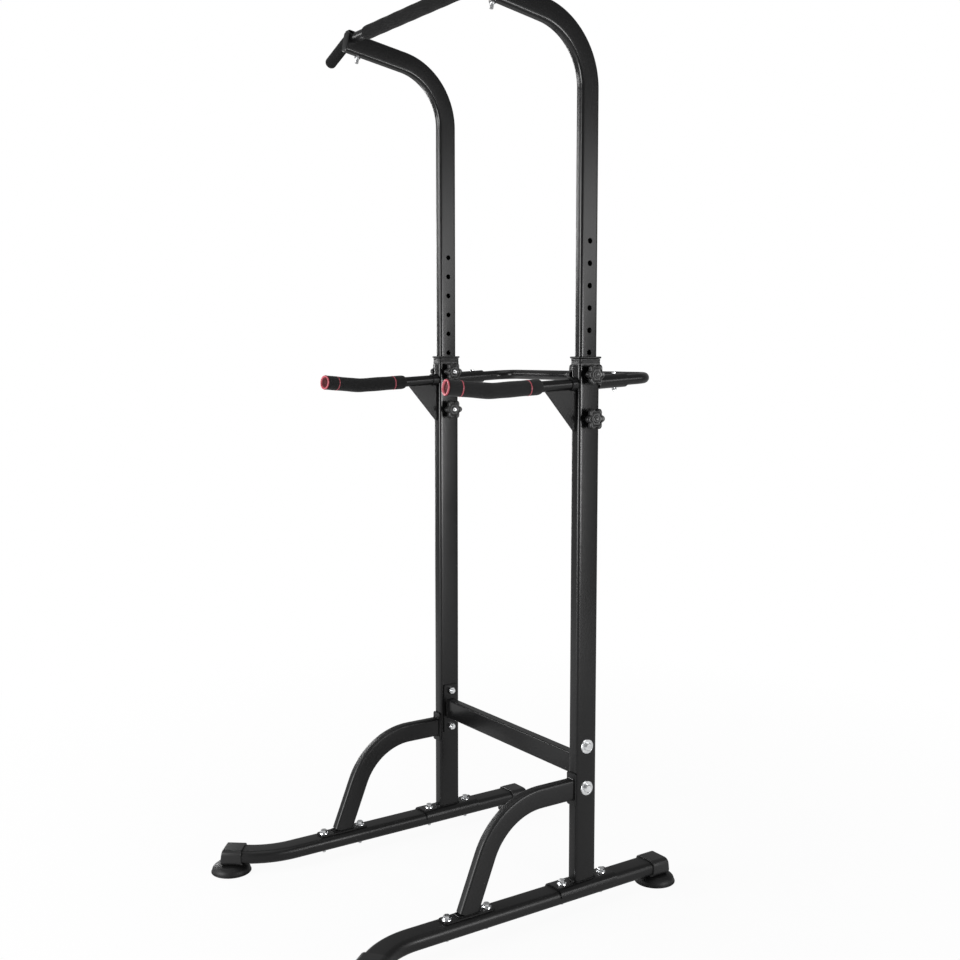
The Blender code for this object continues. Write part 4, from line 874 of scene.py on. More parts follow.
def saddle_mesh():
    """The base plate, folded down over the foot's round edges, its length along Z."""
    flat = FOOT_WIDTH / 2 - FOOT_CORNER
    inner = FOOT_CORNER + GAP
    turn = PLATE_BOTTOM - inner
    low = turn - SADDLE_LIP
    arc = quarter_turn(8)
    under = [(flat + inner * math.cos(a), turn + inner * math.sin(a)) for a in reversed(arc)]
    over = [(flat + (inner + SADDLE_LIP_WALL) * math.cos(a), turn + (inner + PLATE) * math.sin(a))
            for a in arc]
    half = [*under, (under[-1][0], low), (over[0][0], low), *over]
    outline = half + [(-x, z) for x, z in reversed(half)]
    return slab_mesh(outline, 2 * (SADDLE_BOLT_REACH + SADDLE_MARGIN), 0.0007)


class TOWER_OT_uprights(bpy.types.Operator):
    """Makes the lower uprights with their base plates, sockets and rim bushes"""
    bl_idname = "tower.uprights"
    bl_label = "Lower uprights"

    def execute(self, context):
        outer, inner = tube_walls(LOWER_WIDTH, LOWER_DEPTH, LOWER_ROUND, LOWER_WALL)
        back = LOWER_DEPTH / 2
        bead = bead_stand()
        for side, tag in SIDES:
            x = side * HALF_SPACING
            path = [Vector((x, UPRIGHT_Y, z)) for z in (PLATE_TOP - TUBE_SUNK, LOWER_TOP)]
            socket = [dip_point(x, back - SOCKET_SUNK), dip_point(x, back + SOCKET_LENGTH)]
            shell = merged([
                (tube_mesh(path, outer, inner, (1, 0, 0)), None),
                (saddle_mesh(), placed((x, UPRIGHT_Y, 0), TOWARDS_FRONT)),
                (tube_mesh(socket, circle(SOCKET_RADIUS, 40), circle(DIP_RADIUS + GAP, 40)), None),
            ])
            show(f"upright_shell_{tag}", shell, powder_coat, f"lower_upright_{tag}")
            weld_round(f"foot_weld_{tag}", LOWER_WIDTH, LOWER_DEPTH, LOWER_CORNER,
                       placed((x, UPRIGHT_Y, PLATE_TOP + bead)))
            start, heading = socket[0], (socket[1] - socket[0]).normalized()
            edge = rings_on([start, start + heading * 0.001], [circle(SOCKET_RADIUS + bead, 32)])[0]
            weld(f"socket_weld_{tag}", [p + heading * bead for p in edge + edge[:1]])
            self.bush(x, tag)
        return {"FINISHED"}

    def bush(self, x, tag):
        """The moulded bush: a sleeve in the upright, a rounded lip over its rim and a skirt."""
        bm = bmesh.new()

        def collar(stages):
            """A closed band. Its stages give a height, a section and how far that grows."""
            made = add_rings(bm, [
                [(x + a, UPRIGHT_Y + b, z) for a, b in
                 round_rectangle(w + 2 * grow, d + 2 * grow, c + grow)]
                for z, (w, d, c), grow in stages])
            bridge(bm, made[-1], made[0])

        seat = LOWER_TOP + GAP
        lip = (LOWER_WIDTH, LOWER_DEPTH, LOWER_CORNER)
        sleeve = (LOWER_WIDTH - 2 * (LOWER_WALL + GAP), LOWER_DEPTH - 2 * (LOWER_WALL + GAP),
                  LOWER_CORNER - LOWER_WALL - GAP)
        guide = (MAST_WIDTH + 2 * GAP, MAST_DEPTH + 2 * GAP, MAST_CORNER + GAP)
        bulge = ((0.0, 0.0004), (0.0006, 0.0028), (0.0014, 0.0040), (0.0024, BUSH_OVERHANG),
                 (0.0036, BUSH_OVERHANG), (0.0044, 0.0040), (0.0049, 0.0028), (BUSH_LIP, 0.0012))
        collar([
            (seat - BUSH_SLEEVE, sleeve, 0.0), (seat, sleeve, 0.0),
            *[(seat + height, lip, grow) for height, grow in bulge],
            (seat + BUSH_LIP - 0.0006, guide, 0.0006), (seat + BUSH_LIP - 0.0014, guide, 0.0),
            (seat - BUSH_SLEEVE, guide, 0.0)])
        skirt = ((0.0, 0.0), (0.0, 0.0012), (-0.0012, 0.0018), (-0.0035, 0.0018),
                 (-0.0045, 0.0010), (-0.0060, 0.0010), (-0.0070, 0.0016), (-0.0145, 0.0016),
                 (-0.0155, 0.0001))
        collar([(LOWER_TOP + drop, lip, grow) for drop, grow in skirt])
        show(f"guide_bush_{tag}", bm, black_plastic, f"rim_bush_{tag}", angle=45)


# Braces and crossbar

class TOWER_OT_braces(bpy.types.Operator):
    """Makes the curved braces with their flanges and soles"""
    bl_idname = "tower.braces"
    bl_label = "Curved braces"

    def execute(self, context):
        trim = BRACE_RADIUS * math.tan(BRACE_LEAN / 2)
        knee = UPRIGHT_Y - BRACE_STRAIGHT - trim
        foot, face = UPRIGHT_Y + brace_foot_y(), UPRIGHT_Y - LOWER_DEPTH / 2 - GAP
        outline = tube_section(BRACE_WIDTH, BRACE_DEPTH, LOWER_ROUND)
        flange = round_rectangle(LOWER_WIDTH, BRACE_FLANGE_HEIGHT, LOWER_CORNER)
        sole = round_rectangle(BRACE_SOLE_WIDTH, BRACE_PLATE_LENGTH, BRACE_SOLE_CORNER)
        bead = bead_stand()
        for side, tag in SIDES:
            x = side * HALF_SPACING
            path = rounded_path([
                (x, face - PLATE / 2, BRACE_TOP), (x, knee, BRACE_TOP),
                (x, foot, PLATE_BOTTOM + PLATE / 2)], BRACE_RADIUS)
            shell = merged([
                (bar_mesh(path, outline, (1, 0, 0)), None),
                (slab_mesh(flange, PLATE), placed((x, face - PLATE / 2, BRACE_TOP), TOWARDS_FRONT)),
                (slab_mesh(sole, PLATE), placed((x, foot, PLATE_BOTTOM + PLATE / 2))),
            ])
            show(f"brace_shell_{tag}", shell, coarse_coat, f"curved_brace_{tag}")
            weld_round(
                f"brace_sole_weld_{tag}", BRACE_WIDTH, BRACE_DEPTH / math.sin(BRACE_LEAN),
                BRACE_CORNER, placed((x, foot + SOLE_WELD_SHIFT, PLATE_TOP + bead)))
            weld_round(
                f"brace_flange_weld_{tag}", BRACE_WIDTH, BRACE_DEPTH, BRACE_CORNER,
                placed((x, face - PLATE - bead, BRACE_TOP), TOWARDS_FRONT))
        return {"FINISHED"}


class TOWER_OT_crossbar(bpy.types.Operator):
    """Makes the crossbar with its end flanges"""
    bl_idname = "tower.crossbar"
    bl_label = "Crossbar"

    def execute(self, context):
        end = HALF_SPACING - LOWER_WIDTH / 2 - GAP - PLATE / 2
        outline = round_rectangle(CROSSBAR_DEEP, CROSSBAR_TALL, CROSSBAR_CORNER)
        flange = round_rectangle(CROSSBAR_FLANGE_DEEP, CROSSBAR_FLANGE_TALL, LOWER_CORNER)
        path = [Vector((x, UPRIGHT_Y, CROSSBAR_Z)) for x in (-end, end)]
        meshes = [(bar_mesh(path, outline, (0, 1, 0)), None)]
        for side, tag in SIDES:
            meshes.append((slab_mesh(flange, PLATE),
                           placed((side * end, UPRIGHT_Y, CROSSBAR_Z), TOWARDS_SIDE)))
            weld_round(
                f"crossbar_weld_{tag}", CROSSBAR_DEEP, CROSSBAR_TALL, CROSSBAR_CORNER,
                placed((side * (end - PLATE / 2 - bead_stand()), UPRIGHT_Y, CROSSBAR_Z), TOWARDS_SIDE))
        show("crossbar_shell", merged(meshes), powder_coat, "crossbar")
        return {"FINISHED"}


# Dip handles and rear bar

def dip_path(side):
    x = side * HALF_SPACING
    start = dip_point(x, -LOWER_DEPTH / 2 - GAP - (DIP_RADIUS + DIP_COLLAR_WALL) * math.tan(DIP_TILT))
    kink = dip_point(x, -DIP_STRAIGHT)
    level = math.cos(DIP_UPWARD)
    onward = Vector((
        -side * math.sin(DIP_INWARD) * level, -math.cos(DIP_INWARD) * level, math.sin(DIP_UPWARD)))
    return rounded_path([start, kink, kink + onward * DIP_AFTER_KINK], DIP_KINK_RADIUS)


class TOWER_OT_dip_handles(bpy.types.Operator):
    """Makes the dip handles' steel: bar, root collar and gusset"""
    bl_idname = "tower.dip_handles"
    bl_label = "Dip handles"

    def execute(self, context):
        bore, rim, soft = DIP_RADIUS - 0.002, DIP_RADIUS + DIP_COLLAR_WALL, 0.001
        profile = [(bore, 0), (rim, 0), (rim, DIP_COLLAR - soft), (rim - soft, DIP_COLLAR),
                   (bore, DIP_COLLAR)]
        under, slope = DIP_HEIGHT - DIP_RADIUS + GUSSET_SUNK, math.tan(DIP_TILT)
        face = -LOWER_DEPTH / 2 - GAP
        reach = face - GUSSET_LONG
        gusset = [(face, under + face * slope), (reach, under + reach * slope),
                  (face - GUSSET_THICKNESS, under - GUSSET_TALL), (face, under - GUSSET_TALL)]
        ends = (under - DIP_COLLAR_WALL - 0.004, under - GUSSET_TALL + 0.002)
        bead = sizes().weld_bead
        for side, tag in SIDES:
            x = side * HALF_SPACING
            path = dip_path(side)
            round_bar(f"dip_rail_{tag}", path, DIP_RADIUS, f"dip_arm_{tag}")
            root = merged([
                (turned_mesh(profile, 40), facing(path[0], path[1] - path[0])),
                (slab_mesh(gusset, GUSSET_THICKNESS, 0.0006),
                 placed((x, UPRIGHT_Y, 0), TOWARDS_SIDE)),
            ])
            show(f"dip_collar_{tag}", root, powder_coat)
            for across in (-1, 1):
                spot = x + across * (GUSSET_THICKNESS / 2 + bead * 0.2)
                weld(f"gusset_weld_{tag}_{'in' if across * side < 0 else 'out'}",
                     [Vector((spot, UPRIGHT_Y + face - bead * 0.5, z)) for z in ends])
        return {"FINISHED"}


class TOWER_OT_rear_bar(bpy.types.Operator):
    """Makes the bar behind the uprights"""
    bl_idname = "tower.rear_bar"
    bl_label = "Rear bar"

    def execute(self, context):
        begin = LOWER_DEPTH / 2 + SOCKET_LENGTH - REAR_BAR_INSERT
        corners = [dip_point(side * HALF_SPACING, y) for side, y in (
            (-1, begin), (-1, REAR_BAR_DEPTH), (1, REAR_BAR_DEPTH), (1, begin))]
        round_bar("rear_loop", rounded_path(corners, REAR_BAR_RADIUS), DIP_RADIUS, "rear_bar")
        return {"FINISHED"}


# Grips

def foam_mesh(path, core, profile):
    """Foam round a bar. profile gives (distance, radius) points along the path."""
    points = [point_at(path, s) for s, _ in profile]
    return tube_of(points, [circle(r, 48) for _, r in profile], [circle(core, 48)] * len(points))


def grip_profile(length, core, radius, shoulders, grooves=()):
    """Distance and radius along a grip: eased ends, and a dent beside each groove."""
    wave, step, dent = 0.00022, 0.004, 0.004
    count = max(int(length / step), 8)
    stops = [length * i / count for i in range(count + 1)]
    for at in (0.0005, 0.0012, 0.0024, 0.0055, 0.009):
        stops += [at, length - at]
    for groove in grooves:
        stops += [groove + away for away in (-dent, -0.0022, -0.0014, 0.0, 0.0014, 0.0022, dent)]
    profile = []
    for at in sorted({round(s, 5) for s in stops if 0 <= s <= length}):
        full = radius - 0.0003 + wave * math.sin(at * 95.0)
        for near, soft in ((at, shoulders[0]), (length - at, shoulders[1])):
            if near < soft:
                lean = 1 - near / soft
                drop = (radius - core) * 0.62 if soft > 0.004 else 0.0012
                full -= drop * (1 - math.sqrt(max(1 - lean ** 2, 0.0)))
        for groove in grooves:
            away = abs(at - groove)
            if away < dent:
                full -= 0.0005 * (1 - away / dent)
        profile.append((at, full))
    return profile


def ring_band(path, at, radius):
    """A half-round band lying in the foam at a distance along the path."""
    half, stand = sizes().ring_width / 2, sizes().ring_stand
    bed = radius - 0.0015
    arc = [math.pi * i / 6 for i in range(7)]
    profile = [(bed, -half)]
    profile += [(radius - 0.0003 + stand * math.sin(a), -half * math.cos(a)) for a in arc]
    profile += [(bed, half), (bed, -half)]
    return turned_mesh(profile, 56), facing(point_at(path, at), heading_at(path, at))


# Sections of the plug in a dip grip: share of the grip's radius, height over its end
PLUG_RING = (
    (0.70, 0.0012), (0.97, 0.0012), (0.985, 0.0022), (0.97, 0.0034), (0.93, 0.0042),
    (0.87, 0.0044), (0.80, 0.0040), (0.75, 0.0030), (0.73, 0.0016), (0.70, 0.0012))
PLUG_CORE = (
    (0, 0.0007), (0.38, 0.0007), (0.37, 0.0014), (0.24, 0.0022), (0.16, 0.0020),
    (0.12, 0.0014), (0, 0.0014))
PLUG_STEM = (DIP_RADIUS - 0.0023) / GRIP_RADIUS
PLUG_FACE = (
    (0, -0.016), (PLUG_STEM, -0.016), (PLUG_STEM, 0.0002), (1.01, 0.0002), (1.02, 0.0008),
    (1.00, 0.0013), (0.72, 0.0013), (0.60, 0.0016), (0.42, 0.0016), (0.40, 0.0006), (0, 0.0006))


class TOWER_OT_grips(bpy.types.Operator):
    """Makes the foam of the dip handles and the pull-up bar, with rings and plugs"""
    bl_idname = "tower.grips"
    bl_label = "Grips"

    def execute(self, context):
        for side, tag in SIDES:
            self.dip_grip(side, tag)
        self.bar_grips()
        return {"FINISHED"}

    def dip_grip(self, side, tag):
        path = dip_path(side)
        total = length_of(path)
        start = total - DIP_GRIP_LENGTH
        rings = (start + RING_BEHIND, total - RING_AHEAD)
        profile = [(start + s, r) for s, r in grip_profile(
            DIP_GRIP_LENGTH - 0.0001, DIP_RADIUS, GRIP_RADIUS, (0.011, 0.0015),
            [s - start for s in rings])]
        foam = show(f"dip_foam_{tag}", foam_mesh(path, DIP_RADIUS + GAP / 2, profile),
                    foam_skin, f"dip_grip_{tag}", angle=50)
        bands = merged([ring_band(path, at, GRIP_RADIUS) for at in rings])
        show(f"grip_rings_{tag}", bands, ring_plastic, angle=50)
        place = facing(path[-1], heading_at(path, total))
        for name, maker, shape, steps, angle, nodes in (
                ("plug_ring", ring_plastic, PLUG_RING, 64, 50, ()),
                ("plug_core", plug_plastic, PLUG_CORE, 40, 40, ()),
                ("dip_plug", plug_plastic, PLUG_FACE, 48, 45, (f"dip_end_cap_{tag}",))):
            body = turned_mesh([(share * GRIP_RADIUS, up) for share, up in shape], steps)
            show(f"{name}_{tag}", body, maker, *nodes, angle=angle, place=place)

    def bar_grips(self):
        centre = bar_centre()
        ends = [Vector((x, centre.y, centre.z)) for x in (-BAR_GRIP_HALF, BAR_GRIP_HALF)]
        core = BAR_RADIUS + GAP / 2
        profile = grip_profile(2 * BAR_GRIP_HALF, BAR_RADIUS, BAR_GRIP_RADIUS, (0.012, 0.012))
        # The bar's foam here and its end sleeves below take the darker foam, which carries painted
        # shade
        foam = show("chin_foam", foam_mesh(ends, core, profile), painted_shade_bar_foam, "bar_grip",
                    body="mast_frame", angle=50)
        path = bar_path()
        total = length_of(path)
        start = total / 2 + HALF_SPACING + MAST_WIDTH / 2 + END_SLEEVE_ROOM
        radius, count = BAR_RADIUS + END_SLEEVE, 22
        stops = [start + (total - start) * i / count for i in range(count + 1)]
        stops.insert(1, start + 0.0008)
        dome = quarter_turn(8)[1:-1]
        reach = [radius - 0.0006] + [radius] * (count + 1)
        reach += [radius * math.cos(angle) ** 0.8 for angle in dome]
        for side, tag in SIDES:
            handle = path[::side]
            tip, out = handle[-1], heading_at(handle, total)
            points = [point_at(handle, s) for s in stops]
            points += [tip + out * END_DOME * math.sin(angle) for angle in dome]
            bm = bmesh.new()
            outer = add_rings(bm, rings_on(points, [circle(r, 40) for r in reach]))
            fan(bm, outer[-1], tip + out * END_DOME)
            inner = add_rings(bm, rings_on(points, [circle(core, 40)] * len(stops)))
            bridge(bm, outer[0], inner[0])
            fan(bm, inner[-1], tip + out * 0.0002)
            sleeve = show(f"handle_sleeve_{tag}", bm, painted_shade_bar_foam, f"end_grip_{tag}",
                          body="mast_frame", angle=50)


# Masts and pull-up bar

ARM_OUT = Vector((0, -math.cos(ARM_RISE), math.sin(ARM_RISE)))
ARM_UP = Vector((0, math.sin(ARM_RISE), math.cos(ARM_RISE)))


def mast_path(side, short=0.0):
    """Centre line of a mast. short takes a little off its front end."""
    x = side * HALF_SPACING
    trim = MAST_BEND_RADIUS * math.tan((math.pi / 2 - ARM_RISE) / 2)
    knee = Vector((x, UPRIGHT_Y, MAST_BEND_START + trim))
    end = knee + ARM_OUT * (trim + ARM_LENGTH - short)
    return rounded_path([(x, UPRIGHT_Y, MAST_BOTTOM), knee, end], MAST_BEND_RADIUS)


def bar_centre(side=0):
    """Where the pull-up bar's centre line crosses a mast's arm."""
    end = mast_path(side)[-1]
    return end - ARM_OUT * BAR_SETBACK + ARM_UP * (MAST_DEPTH / 2 - BAR_RADIUS)


def bar_path():
    y, z = bar_centre().y, bar_centre().z
    trim = BAR_BEND_RADIUS * math.tan(BAR_DROP / 2)
    knee = HALF_SPACING + BAR_OUTSIDE + trim
    reach = trim + BAR_HANDLE
    tip_x, tip_z = knee + reach * math.cos(BAR_DROP), z - reach * math.sin(BAR_DROP)
    corners = [(-tip_x, y, tip_z), (-knee, y, z), (knee, y, z), (tip_x, y, tip_z)]
    return rounded_path(corners, BAR_BEND_RADIUS)


class TOWER_OT_masts(bpy.types.Operator):
    """Makes the sliding masts with their adjustment holes, end plugs and clamp plates"""
    bl_idname = "tower.masts"
    bl_label = "Masts"

    def execute(self, context):
        walls = tube_walls(MAST_WIDTH, MAST_DEPTH, MAST_ROUND, MAST_WALL)
        for side, tag in SIDES:
            path = mast_path(side, ARM_PLUG)
            seat = bar_centre(side)
            mast = piece(f"mast_shell_{tag}", tube_mesh(path, *walls, (1, 0, 0)))
            bored(mast, self.cutters(side, seat), shared(powder_coat))
            dress(mast, powder_coat, f"mast_{tag}", body="mast_frame")
            self.plug(tag, path[-1])
            self.clamp(tag, seat)
        return {"FINISHED"}

    def cutters(self, side, seat):
        """A rod through each height hole and the notch for the pull-up bar."""
        cuts = []
        rod = [Vector((0, 0, -MAST_WIDTH)), Vector((0, 0, MAST_WIDTH))]
        for i in range(HOLE_COUNT):
            spot = (side * HALF_SPACING, UPRIGHT_Y, LOCK_LOW + i * HOLE_PITCH)
            cuts.append((bar_mesh(rod, circle(HOLE_RADIUS, 28)), facing(spot, (1, 0, 0))))
        reach = BAR_RADIUS + GAP
        below = [(-reach * math.cos(angle), -reach * math.sin(angle))
                 for angle in [math.pi * i / 16 for i in range(17)]]
        notch = slab_mesh([*below, (reach, 2 * BAR_RADIUS), (-reach, 2 * BAR_RADIUS)],
                          2 * MAST_WIDTH, 0)
        turn = Matrix.Rotation(-ARM_RISE, 4, "X") @ placed((0, 0, 0), TOWARDS_SIDE)
        return [*cuts, (notch, Matrix.Translation(seat) @ turn)]

    def plug(self, tag, at):
        """A moulded plug with a rounded face that closes the mast's front end."""
        bm = bmesh.new()
        inside = -MAST_WALL - 0.0002
        rings = []
        for along, grow in (
                (-0.020, inside), (-0.0002, inside), (0.0, 0.0), (0.0008, 0.0),
                (0.0017, -0.0005), (0.0025, -0.0015), (ARM_PLUG, -0.0032)):
            centre = at + ARM_OUT * along
            rings.append([centre + Vector((a, 0, 0)) - ARM_UP * b for a, b in round_rectangle(
                MAST_WIDTH + 2 * grow, MAST_DEPTH + 2 * grow, max(MAST_ROUND + grow, 0.001),
                support=0.0002)])
        made = add_rings(bm, rings)
        for end, along in ((0, -0.020), (-1, ARM_PLUG)):
            fan(bm, made[end], at + ARM_OUT * along)
        show(f"arm_plug_{tag}", bm, black_plastic, body="mast_frame", angle=50)

    def clamp(self, tag, seat):
        rear = CLAMP_BOLT_AT + CLAMP_TAIL
        plate = slab_mesh(round_rectangle(CLAMP_WIDTH, CLAMP_FRONT + rear, MAST_CORNER), CLAMP, 0.0009)
        centre = seat - ARM_OUT * (rear - CLAMP_FRONT) / 2 + ARM_UP * (BAR_RADIUS + GAP + CLAMP / 2)
        show(f"clamp_plate_{tag}", plate, powder_coat, f"bar_clamp_{tag}", body="mast_frame",
             place=placed(centre, (-ARM_RISE, 0, 0)))


class TOWER_OT_pullup_bar(bpy.types.Operator):
    """Makes the pull-up bar's steel"""
    bl_idname = "tower.pullup_bar"
    bl_label = "Pull-up bar"

    def execute(self, context):
        round_bar("chin_bar", bar_path(), BAR_RADIUS, "pullup_bar", body="mast_frame")
        return {"FINISHED"}


# Lock bolts, knobs and star nuts

def star(scale, roundness=0.0):
    """A star outline with round lobes and narrower valleys. roundness 1 makes it a circle."""
    points = []
    for i in range(STAR_STEPS):
        angle = 2 * math.pi * i / STAR_STEPS
        swell = 2 * ((1 + math.cos(STAR_LOBES * angle)) / 2) ** 0.72 - 1
        reach = scale * (STAR_RADIUS + STAR_WAVE * (1 - roundness) * swell)
        points.append((reach * math.cos(angle), reach * math.sin(angle)))
    return points


def star_mesh(through):
    """A star part on its boss, from Z = 0 up. One with a through bore is a nut."""
    head = STAR_BOSS_LENGTH
    crest = head + STAR_THICKNESS
    soft, bore = 0.0042, LOCK_RADIUS + GAP
    layers = [(up, circle(radius, STAR_STEPS)) for up, radius in (
        (0.0, STAR_BOSS_RADIUS - 0.0006), (0.0006, STAR_BOSS_RADIUS), (head, STAR_BOSS_RADIUS))]
    layers += [(head + up, star(scale)) for up, scale in (
        (0.0, 0.86), (0.0006, 0.93), (0.0022, 0.985), (0.004, 1.0))]
    layers += [(crest - soft + soft * math.sin(angle), star(1 - 0.20 * (1 - math.cos(angle))))
               for angle in quarter_turn(7)]
    layers += [(crest - deep, star(scale, roundness)) for scale, roundness, deep in (
        (0.74, 0.2, 0.0004), (0.67, 0.5, 0.0014), (0.60, 0.85, 0.0022), (0.52, 1.0, 0.0024))]
    hub = [(0.0022, 0.0088), (0.0006, 0.0080), (0.0002, 0.0074)]
    if through:
        hub += [(0.0002, 0.0060), (0.0010, bore), (crest, bore)]
    else:
        hub += [(0.0003, 0.0052), (0.0012, 0.0036)]
    layers += [(crest - deep, circle(radius, STAR_STEPS)) for deep, radius in hub]
    bm = bmesh.new()
    made = add_rings(bm, [[(x, y, z) for x, y in outline] for z, outline in layers])
    if through:
        bridge(bm, made[-1], made[0])
    else:
        fan(bm, made[-1], (0, 0, crest - 0.0015))
        blind = add_rings(bm, [
            [(x, y, z) for x, y in circle(bore, STAR_STEPS)] for z in (0.0, STAR_SOCKET)])
        bridge(bm, made[0], blind[0])
        fan(bm, blind[-1], (0, 0, STAR_SOCKET))
    return bm


class TOWER_OT_locks(bpy.types.Operator):
    """Makes the lock bolts with their star knobs and star nuts"""
    bl_idname = "tower.locks"
    bl_label = "Lock bolts and knobs"

    def execute(self, context):
        start = LOWER_WIDTH / 2 + GAP
        far = -(start + STAR_BOSS_LENGTH + STAR_THICKNESS + BOLT_STAND_OUT)
        near = start + STAR_SOCKET - GAP
        pitch = sizes().thread_pitch
        profile = [(0, far), (LOCK_RADIUS * 0.72, far), (LOCK_RADIUS * 0.92, far + 0.0010)]
        for i in range(int((LOCK_THREAD - 0.002) / pitch)):
            at = far + 0.0014 + i * pitch
            profile += [(LOCK_RADIUS * 0.90, at), (LOCK_RADIUS, at + pitch * 0.45),
                        (LOCK_RADIUS, at + pitch * 0.55)]
        profile += [(LOCK_RADIUS, far + LOCK_THREAD + 0.001), (LOCK_RADIUS, near), (0, near)]
        for side, tag in SIDES:
            for name, height in LOCK_HEIGHT.items():
                key = f"{name}_{tag}"
                spot = Vector((side * HALF_SPACING, UPRIGHT_Y, height))
                outward = Vector((side, 0, 0))
                show(f"knob_head_{key}", star_mesh(False), black_plastic, f"lock_knob_{key}",
                     body=f"knob_{key}", angle=42, place=facing(spot + outward * start, outward))
                show(f"star_grip_{key}", star_mesh(True), black_plastic, f"star_nut_{key}",
                     body=f"nut_{key}", angle=42, place=facing(spot - outward * start, -outward))
                show(f"lock_pin_{key}", turned_mesh(profile, 32), bright_zinc,
                     f"lock_bolt_{key}", body=f"bolt_{key}", angle=30,
                     place=facing(spot, outward))
        return {"FINISHED"}


# Fasteners

def brace_foot_y():
    trim = BRACE_RADIUS * math.tan(BRACE_LEAN / 2)
    return -BRACE_STRAIGHT - trim - (BRACE_TOP - PLATE_BOTTOM - PLATE / 2) / math.tan(BRACE_LEAN)


class TOWER_OT_fasteners(bpy.types.Operator):
    """Makes the bolts and nuts of the feet, the crossbar, the sockets and the clamps"""
    bl_idname = "tower.fasteners"
    bl_label = "Bolts and nuts"

    def execute(self, context):
        foot = brace_foot_y()
        rows = {
            "upright_front": -SADDLE_BOLT_REACH, "upright_rear": SADDLE_BOLT_REACH,
            "brace_front": foot - BRACE_BOLT_REACH, "brace_rear": foot + BRACE_BOLT_REACH}
        spots = [(side * HALF_SPACING, UPRIGHT_Y + y, PLATE_TOP + GAP)
                 for side, _ in SIDES for y in rows.values()]
        bolts("foot_screws", "foot", spots, (0, 0, 1),
              *[f"foot_bolt_{name}_{tag}" for _, tag in SIDES for name in rows])
        tilted = Vector((0, -math.sin(DIP_TILT), math.cos(DIP_TILT)))
        for side, tag in SIDES:
            x = side * HALF_SPACING
            face = side * (HALF_SPACING + LOWER_WIDTH / 2 + GAP)
            spots = [(face, UPRIGHT_Y, CROSSBAR_Z + up)
                     for up in (-CROSSBAR_BOLT_REACH, CROSSBAR_BOLT_REACH)]
            bolts(f"crossbar_screws_{tag}", "crossbar", spots, (side, 0, 0),
                  f"crossbar_bolt_low_{tag}", f"crossbar_bolt_high_{tag}", sides=32)
            seat = dip_point(x, LOWER_DEPTH / 2 + SOCKET_BOLT_AT) + tilted * (SOCKET_RADIUS + GAP)
            bolts(f"socket_screw_{tag}", "socket", [seat], tilted, f"socket_bolt_{tag}", sides=32)
            seat = bar_centre(side) - ARM_OUT * CLAMP_BOLT_AT + ARM_UP * (BAR_RADIUS + GAP + CLAMP)
            bolts(f"clamp_screw_{tag}", "clamp", [seat], ARM_UP, body="mast_frame")
        return {"FINISHED"}


# Stage, lights and camera

def aimed(name, data, at, direction):
    """A lamp or a camera that looks in a direction."""
    thing = added(name, data)
    thing.location = at
    thing.rotation_euler = direction.to_track_quat("-Z", "Y").to_euler()
    return thing


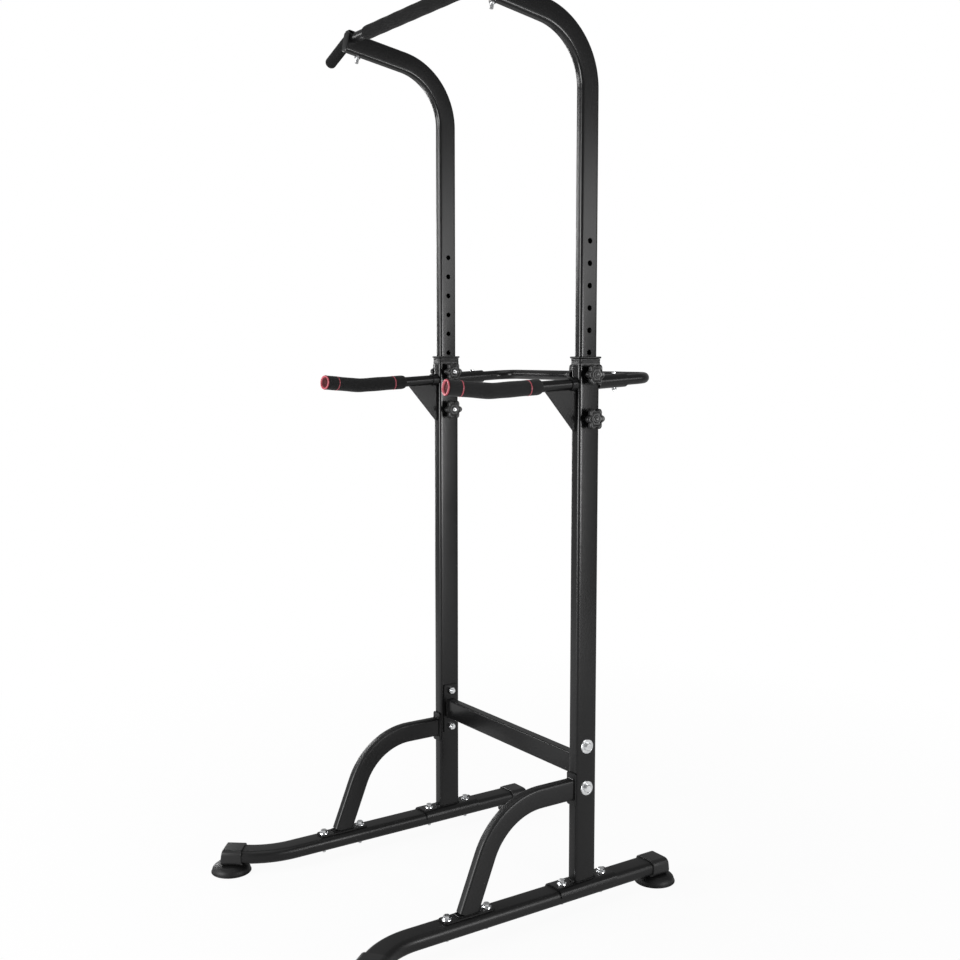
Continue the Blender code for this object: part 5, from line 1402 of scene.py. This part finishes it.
class TOWER_OT_stage(bpy.types.Operator):
    """Makes the floor, the backdrop, the lights and the camera"""
    bl_idname = "tower.stage"
    bl_label = "Stage"

    def execute(self, context):
        self.floor()
        self.lights()
        self.camera()
        return {"FINISHED"}

    def floor(self):
        bm = bmesh.new()
        bm.faces.new([bm.verts.new((x * FLOOR_REACH, y * FLOOR_REACH, 0.0))
                      for x, y in ((-1, -1), (1, -1), (1, 1), (-1, 1))])
        material, tree, shader = new_material("pale_floor")
        fill(shader, {
            "Base Color": (*colours().floor, 1), "Roughness": 0.9, "Specular IOR Level": 0.0})
        glow = node(tree, "ShaderNodeEmission", {"Color": WHITE, "Strength": 1.0})
        place = node(tree, "ShaderNodeTexCoord").outputs["Object"]
        away = node(tree, "ShaderNodeVectorMath", {0: place}, operation="LENGTH").outputs["Value"]
        fade = in_range(tree, away, FLOOR_GLOW, 1.0, FADE_START, FADE_END)
        share = node(tree, "ShaderNodeMath", {0: background_rays(tree), 1: fade},
                     operation="MULTIPLY")
        mix = node(tree, "ShaderNodeMixShader", {0: share, 1: shader, 2: glow})
        fill(tree.nodes["Material Output"], {0: mix})
        piece("studio_floor", bm, material)

    def lights(self):
        world = bpy.data.worlds.new("soft_room")
        bpy.context.scene.world = world
        world.use_nodes = True
        tree = world.node_tree
        soft = fill(tree.nodes["Background"], {"Color": WHITE, "Strength": ROOM_LIGHT})
        white = node(tree, "ShaderNodeBackground", {"Color": WHITE, "Strength": 1.0})
        mix = node(tree, "ShaderNodeMixShader", {0: background_rays(tree), 1: soft, 2: white})
        fill(tree.nodes["World Output"], {0: mix})
        lamps = (
            ("overhead", (0.2, -0.3, 4.4), (0.0, 0.0, 0.0), (3.0, 3.0), 42.0),
            ("front_panel", (-0.4, -3.7, 1.3), (0.3, 0.1, 1.1), (2.0, 2.0), 200.0),
            ("left_strip", (-3.3, -0.3, 1.2), (0.3, 0.1, 1.1), (0.5, 1.6), 40.0),
            ("right_panel", (4.15, 1.4, 0.95), (0.3, 0.1, 0.9), (1.4, 1.2), 122.0),
            ("front_high", (-2.8, -2.0, 2.1), (0.3, 0.1, 1.6), (0.40, 0.8), 16.0),
            ("rear_high", (3.4, 2.7, 1.93), (0.3, 0.2, 1.5), (2.0, 0.8), 20.0))
        for name, at, target, size, power in lamps:
            lamp = bpy.data.lights.new(name, "AREA")
            lamp.shape = "RECTANGLE"
            lamp.size, lamp.size_y = size
            lamp.energy = power
            aimed(name, lamp, at, Vector(target) - Vector(at))

    def camera(self):
        level = math.cos(CAMERA_DIP)
        ahead = Vector((-math.sin(CAMERA_TURN) * level, math.cos(CAMERA_TURN) * level,
                        -math.sin(CAMERA_DIP)))
        lens = bpy.data.cameras.new("camera")
        lens.sensor_width = SENSOR
        lens.lens = SENSOR * CAMERA_FOCAL / FRAME_SIDE
        lens.shift_x = (FRAME_SIDE / 2 - CAMERA_CENTRE[0]) / FRAME_SIDE
        lens.shift_y = (CAMERA_CENTRE[1] - FRAME_SIDE / 2) / FRAME_SIDE
        scene = bpy.context.scene
        scene.camera = aimed("camera", lens, CAMERA_AT, ahead)
        scene.view_settings.view_transform = "Standard"


OPERATORS = (
    TOWER_OT_feet, TOWER_OT_uprights, TOWER_OT_braces, TOWER_OT_crossbar, TOWER_OT_dip_handles,
    TOWER_OT_rear_bar, TOWER_OT_grips, TOWER_OT_masts, TOWER_OT_pullup_bar, TOWER_OT_locks,
    TOWER_OT_fasteners, TOWER_OT_stage)


class TOWER_PT_panel(bpy.types.Panel):
    """Lists the tower's pieces, sizes and colours"""
    bl_idname = "TOWER_PT_panel"
    bl_label = "Pull-up bar"
    bl_space_type = "VIEW_3D"
    bl_region_type = "UI"
    bl_category = "Pull-up bar"

    def draw(self, context):
        for group in (context.scene.tower_sizes, context.scene.tower_colours):
            for name in group.__annotations__:
                self.layout.prop(group, name)
        for operator in OPERATORS:
            self.layout.operator(operator.bl_idname)


CLASSES = (TowerSizes, TowerColours, *OPERATORS, TOWER_PT_panel)


def register():
    for cls in CLASSES:
        bpy.utils.register_class(cls)
    bpy.types.Scene.tower_sizes = PointerProperty(type=TowerSizes)
    bpy.types.Scene.tower_colours = PointerProperty(type=TowerColours)


def unregister():
    del bpy.types.Scene.tower_sizes
    del bpy.types.Scene.tower_colours
    for cls in reversed(CLASSES):
        bpy.utils.unregister_class(cls)


def main():
    register()
    for operator in OPERATORS:
        group, name = operator.bl_idname.split(".")
        getattr(getattr(bpy.ops, group), name)()


if __name__ == "__main__":
    main()
